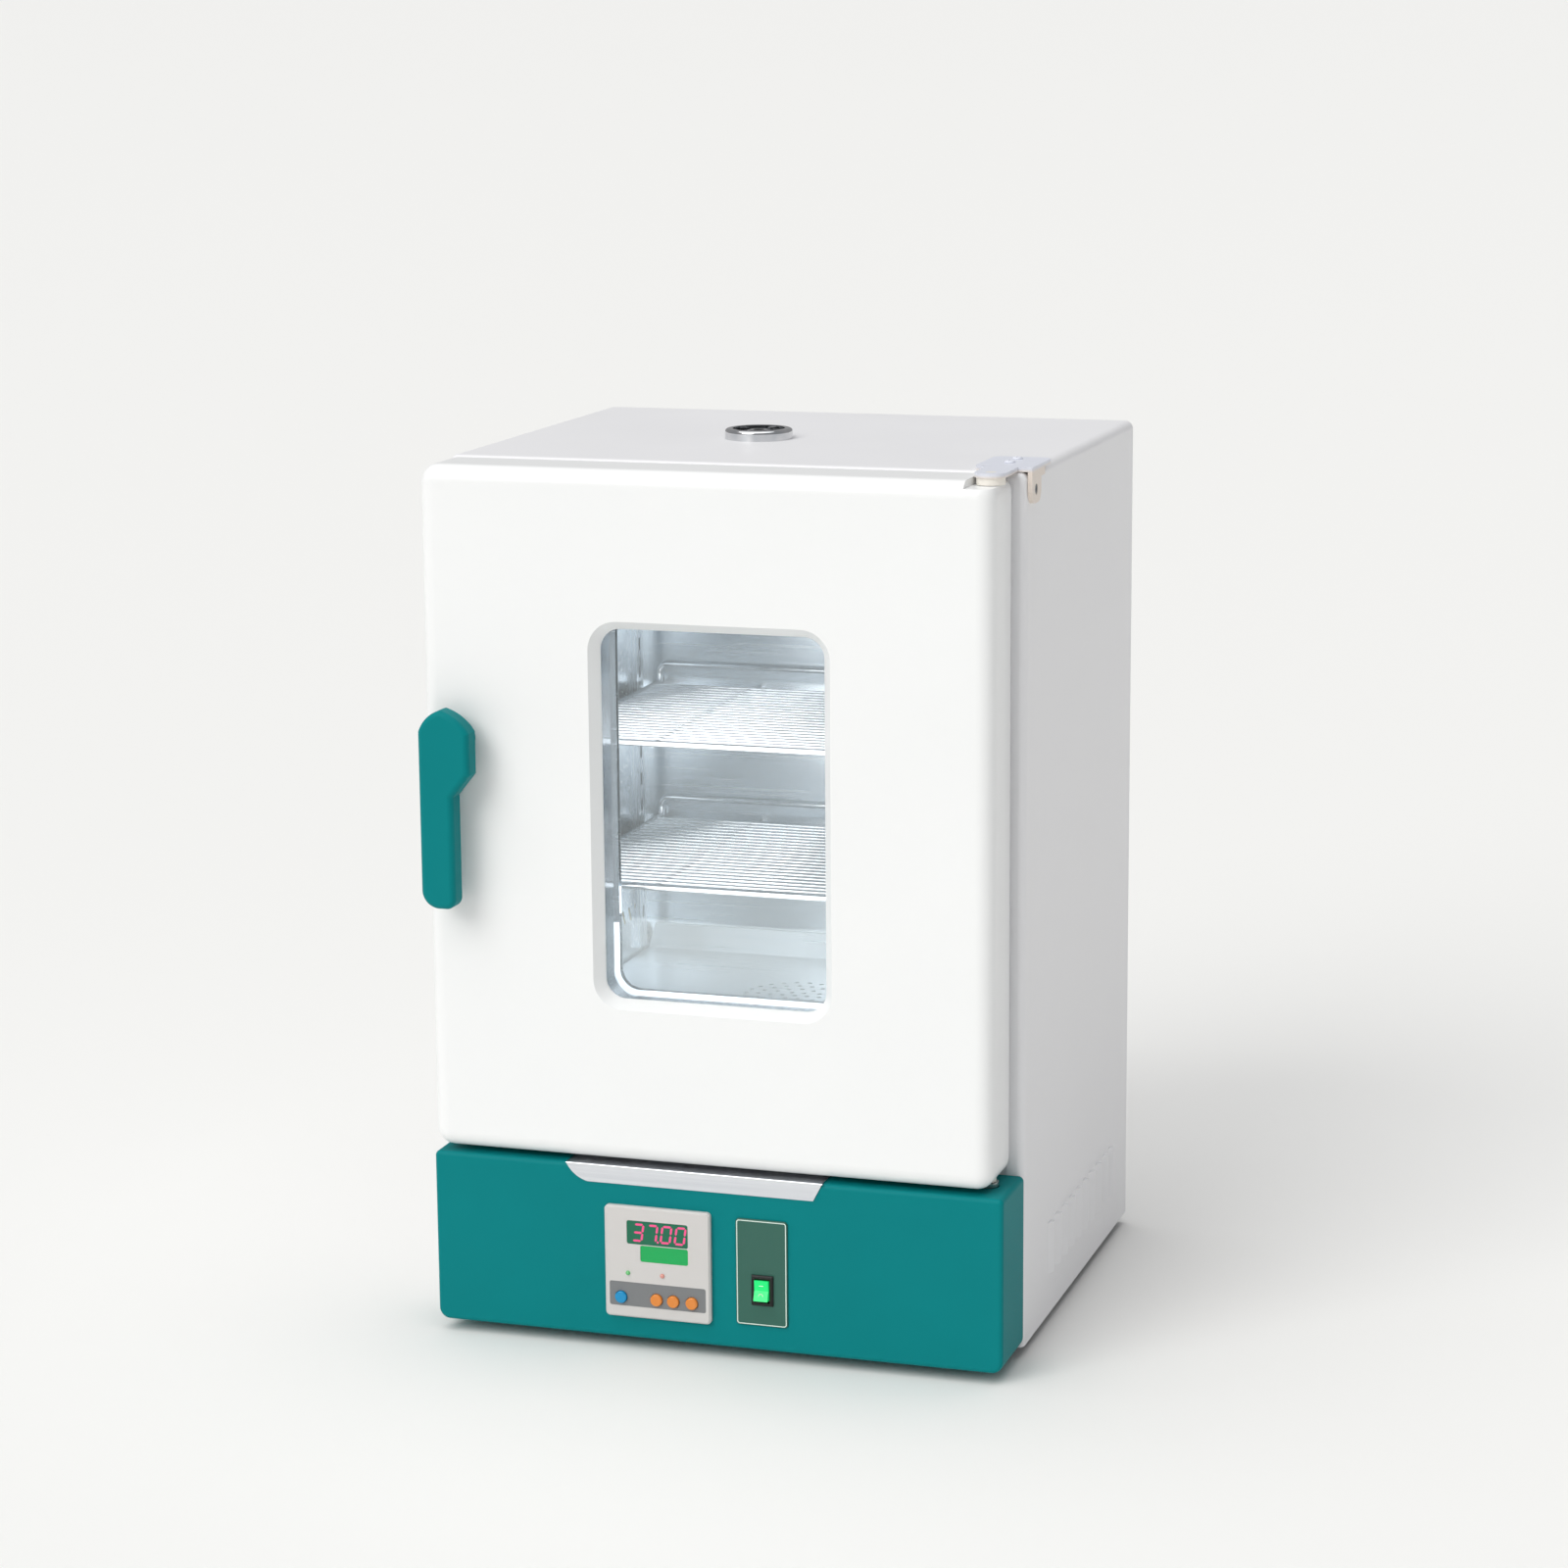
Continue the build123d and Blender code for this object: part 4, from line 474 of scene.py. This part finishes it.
# Door glazing. Two panes of float glass with a rubber bead. The glass is clear, with a
# faint grey-green body, and mirrors more the flatter one looks at it: Schlick's rule, the
# fifth power of one minus the cosine, added to a small even share.

glass = {"Base Color": linear("#dfe9ec"), "Roughness": 0.03, "IOR": 1.5}
material, tree, body, place = surface("float_glass", glass)
facing_away = add(tree, "ShaderNodeLayerWeight", {}, {"Blend": 0.5})
fifth = add(tree, "ShaderNodeMath", {"operation": "POWER"}, {0: facing_away.outputs["Facing"], 1: 5.0})
cover = add(tree, "ShaderNodeMapRange", {}, {"Value": fifth.outputs[0], "To Min": 0.09, "To Max": 1.0})
tree.links.new(cover.outputs[0], body.inputs["Alpha"])
dress(material, "outer_pane", "inner_pane")


# Rubber, silicone and nylon parts. The bead and the feet are black rubber, the gasket is
# pale silicone, and bushes, gland and terminals are polyamide or acetal. All are moulded:
# the eye gets an even colour with a matt, finely gritted surface.

def moulded(name, code, gloss, grit, depth, more={}):
    """Spark-eroded mould texture: bumps of one grit size, in mm, and a slight tone change."""
    material, tree, body, place = surface(name, {"IOR": 1.46, **more})
    grains = add(tree, "ShaderNodeTexNoise", {}, {"Vector": place, "Scale": 1 / (grit * MM), "Detail": 2.0})
    drift = add(tree, "ShaderNodeTexNoise", {}, {"Vector": place, "Scale": 1 / (60 * MM), "Detail": 2.0})
    base = np.array(linear(code))
    darker, paler = (*(base[:3] * 0.94), 1.0), (*np.minimum(base[:3] * 1.04, 1), 1.0)
    tone = add(tree, "ShaderNodeMix", {"data_type": "RGBA"},
               {0: drift.outputs["Fac"], 6: darker, 7: paler})
    rough = add(tree, "ShaderNodeMapRange", {},
                {"Value": grains.outputs["Fac"], "To Min": gloss - 0.05, "To Max": gloss + 0.05})
    bump = add(tree, "ShaderNodeBump", {},
               {"Height": grains.outputs["Fac"], "Strength": 0.2, "Distance": depth * MM})
    tree.links.new(tone.outputs[2], body.inputs["Base Color"])
    tree.links.new(rough.outputs[0], body.inputs["Roughness"])
    tree.links.new(bump.outputs[0], body.inputs["Normal"])
    return material


black_rubber = moulded("black_rubber", "#1b1b1c", 0.7, 0.8, 0.05)
silicone = moulded("pale_silicone", "#d9d9d4", 0.55, 1.2, 0.03)
dress(black_rubber, "window_seal", "rubber_feet")
dress(silicone, "door_gasket")
dress(moulded("acetal_bush", "#e6e4dc", 0.35, 1.0, 0.02), "hinge_bushes")
dress(moulded("polyamide_gland", "#161617", 0.5, 0.6, 0.04), "cable_gland")
dress(moulded("polyamide_terminals", "#dcd9cb", 0.45, 0.8, 0.03), "terminal_block")


# Insulation. Glass wool blankets, cut with a knife and packed behind the sheets. The eye
# gets a rough yellow mat of fibres.

material, tree, body, place = surface("glass_wool", {"Roughness": 0.95, "Sheen Weight": 0.3})
tangle = add(tree, "ShaderNodeTexNoise", {},
             {"Vector": place, "Scale": 1 / (4 * MM), "Detail": 8.0, "Distortion": 1.5})
tone = add(tree, "ShaderNodeMix", {"data_type": "RGBA"},
           {0: tangle.outputs["Fac"], 6: linear("#b59d55"), 7: linear("#e3d59a")})
bump = add(tree, "ShaderNodeBump", {},
           {"Height": tangle.outputs["Fac"], "Strength": 0.8, "Distance": 1.5 * MM})
tree.links.new(tone.outputs[2], body.inputs["Base Color"])
tree.links.new(bump.outputs[0], body.inputs["Normal"])
dress(material, "insulation", "door_insulation")


# Base front and latch lever. Self-coloured ABS, moulded: the base's front is clipped to
# the pan, and the lever turns on its seat. The eye gets one even satin teal.

teal_abs = moulded("teal_abs", "#007f82", 0.5, 1.0, 0.03, {"Specular IOR Level": 0.12})
dress(teal_abs, "fascia", "handle_lever", "escutcheon")


# Controller. A snap-in ABS case, warm pale grey and satin, with a grey membrane strip,
# two glossy tinted windows, round glossy keys and two small lenses of hazy plastic.

dress(moulded("grey_abs", "#d2cfcd", 0.5, 0.9, 0.04), "controller_case")
dress(moulded("grey_membrane", "#7c7e80", 0.45, 0.7, 0.02), "keypad_band")
dress(moulded("dark_green_window", "#0b6a4c", 0.16, 3.0, 0.005), "display_upper")
dress(moulded("green_window", "#0a9a4e", 0.16, 3.0, 0.005,
              {"Emission Color": linear("#0a9a4e"), "Emission Strength": 0.25}), "display_lower")
dress(moulded("blue_key", "#148fc6", 0.25, 1.0, 0.01), "set_button")
dress(moulded("orange_key", "#e38a3c", 0.25, 1.0, 0.01), "shift_button", "down_button", "up_button")
dress(moulded("circuit_board", "#12552c", 0.4, 2.0, 0.03), "controller_board")

material, tree, body, place = surface("two_lenses", {"Roughness": 0.2, "IOR": 1.5})
low, high = (np.array(corner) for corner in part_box("signal_lamps"))
middle = float(low[0] + high[0]) / 2
across = add(tree, "ShaderNodeSeparateXYZ", {}, {0: place})
right = add(tree, "ShaderNodeMath", {"operation": "GREATER_THAN"}, {0: across.outputs["X"], 1: middle})
haze = add(tree, "ShaderNodeTexNoise", {}, {"Vector": place, "Scale": 1 / (1.5 * MM)})
red = add(tree, "ShaderNodeMix", {"data_type": "RGBA"},
          {0: haze.outputs["Fac"], 6: linear("#e2a49a"), 7: linear("#d99286")})
green = add(tree, "ShaderNodeMix", {"data_type": "RGBA"},
            {0: haze.outputs["Fac"], 6: linear("#5dbb6a"), 7: linear("#7cc886")})
both = add(tree, "ShaderNodeMix", {"data_type": "RGBA"},
           {0: right.outputs[0], 6: green.outputs[2], 7: red.outputs[2]})
tree.links.new(both.outputs[2], body.inputs["Base Color"])
dress(material, "signal_lamps")


def prism(outline, y0, y1):
    """A flat outline of x and z, from y0 to y1. Returns points and faces."""
    outline = np.asarray(outline, float)
    n = len(outline)
    points = np.array([[x, y, z] for y in (y0, y1) for x, z in outline])
    sides = [(i, (i + 1) % n, n + (i + 1) % n, n + i) for i in range(n)]
    return points, sides + [tuple(range(n))[::-1], tuple(range(n, 2 * n))]


# The display reads a plain incubation temperature. Each digit is seven light bars behind
# the window, leaning 8 degrees, printed here as a film on its face.

lit_red, tree, shader, place = surface("lit_segment", {"Roughness": 0.4, "Emission Strength": 0.75})
glow = add(tree, "ShaderNodeTexNoise", {}, {"Vector": place, "Scale": 1 / (2 * MM)})
pink = add(tree, "ShaderNodeMix", {"data_type": "RGBA"},
           {0: glow.outputs["Fac"], 6: linear("#d23a66"), 7: linear("#b8447c")})
tree.links.new(pink.outputs[2], shader.inputs["Base Color"])
tree.links.new(pink.outputs[2], shader.inputs["Emission Color"])
low, high = (np.array(corner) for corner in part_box("display_upper"))
wide, tall, bar = 6.4 * MM, 11.4 * MM, 1.5 * MM
first, pitch, point_in, film, gap = 4.0 * MM, 10.0 * MM, 22.0 * MM, 0.06 * MM, 0.3 * MM
lit = {"3": "abgcd", "7": "abc", "0": "abcdef"}
ends = {"a": ((0, 2), (1, 2)), "b": ((1, 2), (1, 1)), "c": ((1, 1), (1, 0)), "d": ((0, 0), (1, 0)),
        "e": ((0, 1), (0, 0)), "f": ((0, 2), (0, 1)), "g": ((0, 1), (1, 1))}
parts = []
for i, digit in enumerate("3700"):
    for name in lit[digit]:
        a, b = (np.array([x * wide, z * tall / 2]) for x, z in ends[name])
        along = (b - a) / np.linalg.norm(b - a)
        side = np.array([-along[1], along[0]]) * bar / 2
        a, b = a + along * gap, b - along * gap
        hexagon = np.array([a, a + along * bar / 2 + side, b - along * bar / 2 + side, b,
                            b - along * bar / 2 - side, a + along * bar / 2 - side])
        hexagon[:, 0] += np.tan(np.radians(8)) * hexagon[:, 1] + low[0] + first + i * pitch
        hexagon[:, 1] += (low[2] + high[2] - tall) / 2
        parts.append(prism(hexagon, low[1] - film, low[1]))
turn = 2 * np.pi * np.arange(12) / 12
dot = np.stack([np.cos(turn), np.sin(turn)], 1) * 0.8 * MM
dot += (low[0] + point_in, (low[2] + high[2] - tall) / 2)
parts.append(prism(dot, low[1] - film, low[1]))
points, faces = together(parts)
piece("display_digits", points, faces, lit_red, smooth=False, body="cabinet")


# Mains switch. A dark green printed plate with a pale line round it, a black snap-in
# body and a lit rocker with its two marks printed in white. The rocker is clear green
# polycarbonate with a lamp behind it, so it glows a little in its own colour.

dress(moulded("green_plate", "#2f6154", 0.4, 1.0, 0.02), "switch_plate")
dress(moulded("black_nylon", "#0d100f", 0.4, 0.8, 0.02), "switch_body")
dress(moulded("lit_polycarbonate", "#12d873", 0.22, 3.0, 0.005,
              {"Emission Color": linear("#08d868"), "Emission Strength": 0.35}), "rocker")
pale_ink = moulded("pale_ink", "#dfeee4", 0.5, 0.5, 0.01)


def band(outer, inner, y0, y1):
    """A flat band between two closed outlines of x and z, with y0 its front."""
    edges = ((outer, y1), (outer, y0), (inner, y0), (inner, y1))
    rings = [np.insert(line, 1, y, axis=1) for line, y in edges]
    return np.array(rings).reshape(-1, 3), quads(4, len(outer), True, True)


def rounded_outline(x0, x1, z0, z1, r, steps=8):
    """A rectangle of x and z with round corners."""
    turn = np.radians(90) * np.linspace(0, 1, steps)
    arc = r * np.stack([np.cos(turn), np.sin(turn)], 1)
    quarter = np.array([[0, -1], [1, 0]])
    corners = [(x1 - r, z1 - r), (x0 + r, z1 - r), (x0 + r, z0 + r), (x1 - r, z0 + r)]
    return np.vstack([c + arc @ np.linalg.matrix_power(quarter, -i % 4) for i, c in enumerate(corners)])


low, high = (np.array(corner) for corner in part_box("switch_plate"))
plate_r, ink = 2.6 * MM, 0.04 * MM
lines = [rounded_outline(low[0] + g, high[0] - g, low[2] + g, high[2] - g, plate_r - g)
         for g in (0.7 * MM, 1.35 * MM)]
points, faces = band(*lines, low[1] - ink, low[1])
piece("plate_line", points, faces, pale_ink, smooth=False, body="cabinet")

low, high = (np.array(corner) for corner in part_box("rocker"))
turn = 2 * np.pi * np.arange(40) / 40
round_line = np.stack([np.cos(turn), np.sin(turn)], 1)
ring = band(1.75 * MM * round_line, 1.25 * MM * round_line, -ink, 0.0)
dash = prism(rounded_outline(-1.6 * MM, 1.6 * MM, -0.35 * MM, 0.35 * MM, 0.3 * MM, 5), -ink, 0.0)


def tip(degrees):
    """The turn about x by an angle, as three columns."""
    a = np.radians(degrees)
    return np.array([[1, 0, 0], [0, np.cos(a), -np.sin(a)], [0, np.sin(a), np.cos(a)]])


# Each half of the rocker leans by its wedge angle, and the whole is tipped to "on". The
# marks lie on the halves' middles, 1.4 mm further out at a half's end than at the middle.
wedge, tipped, mark_up, face_out = 11.31, -9.0, 3.5 * MM, 3.8 * MM
pivot = np.array([(low[0] + high[0]) / 2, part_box("switch_plate")[1].y - 1.0 * MM,
                  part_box("switch_body")[0].z + 10.5 * MM])
marks = []
for (points, faces), side in ((ring, -1), (dash, 1)):
    at = tip(tipped) @ np.array([0, -face_out - 1.4 * mark_up / 7.0, side * mark_up])
    marks.append((points @ tip(tipped - side * wedge).T + at + pivot, faces))
points, faces = together(marks)
piece("rocker_marks", points, faces, pale_ink, smooth=False, body="rocker")


# Relay. It stands on an extruded aluminium heat sink in the base pan. The eye gets a
# pale, slightly clouded metal.

extruded = zinc_plate("extruded_aluminium", "#c9ccd0", 0.36)
dress(extruded, "power_relay")
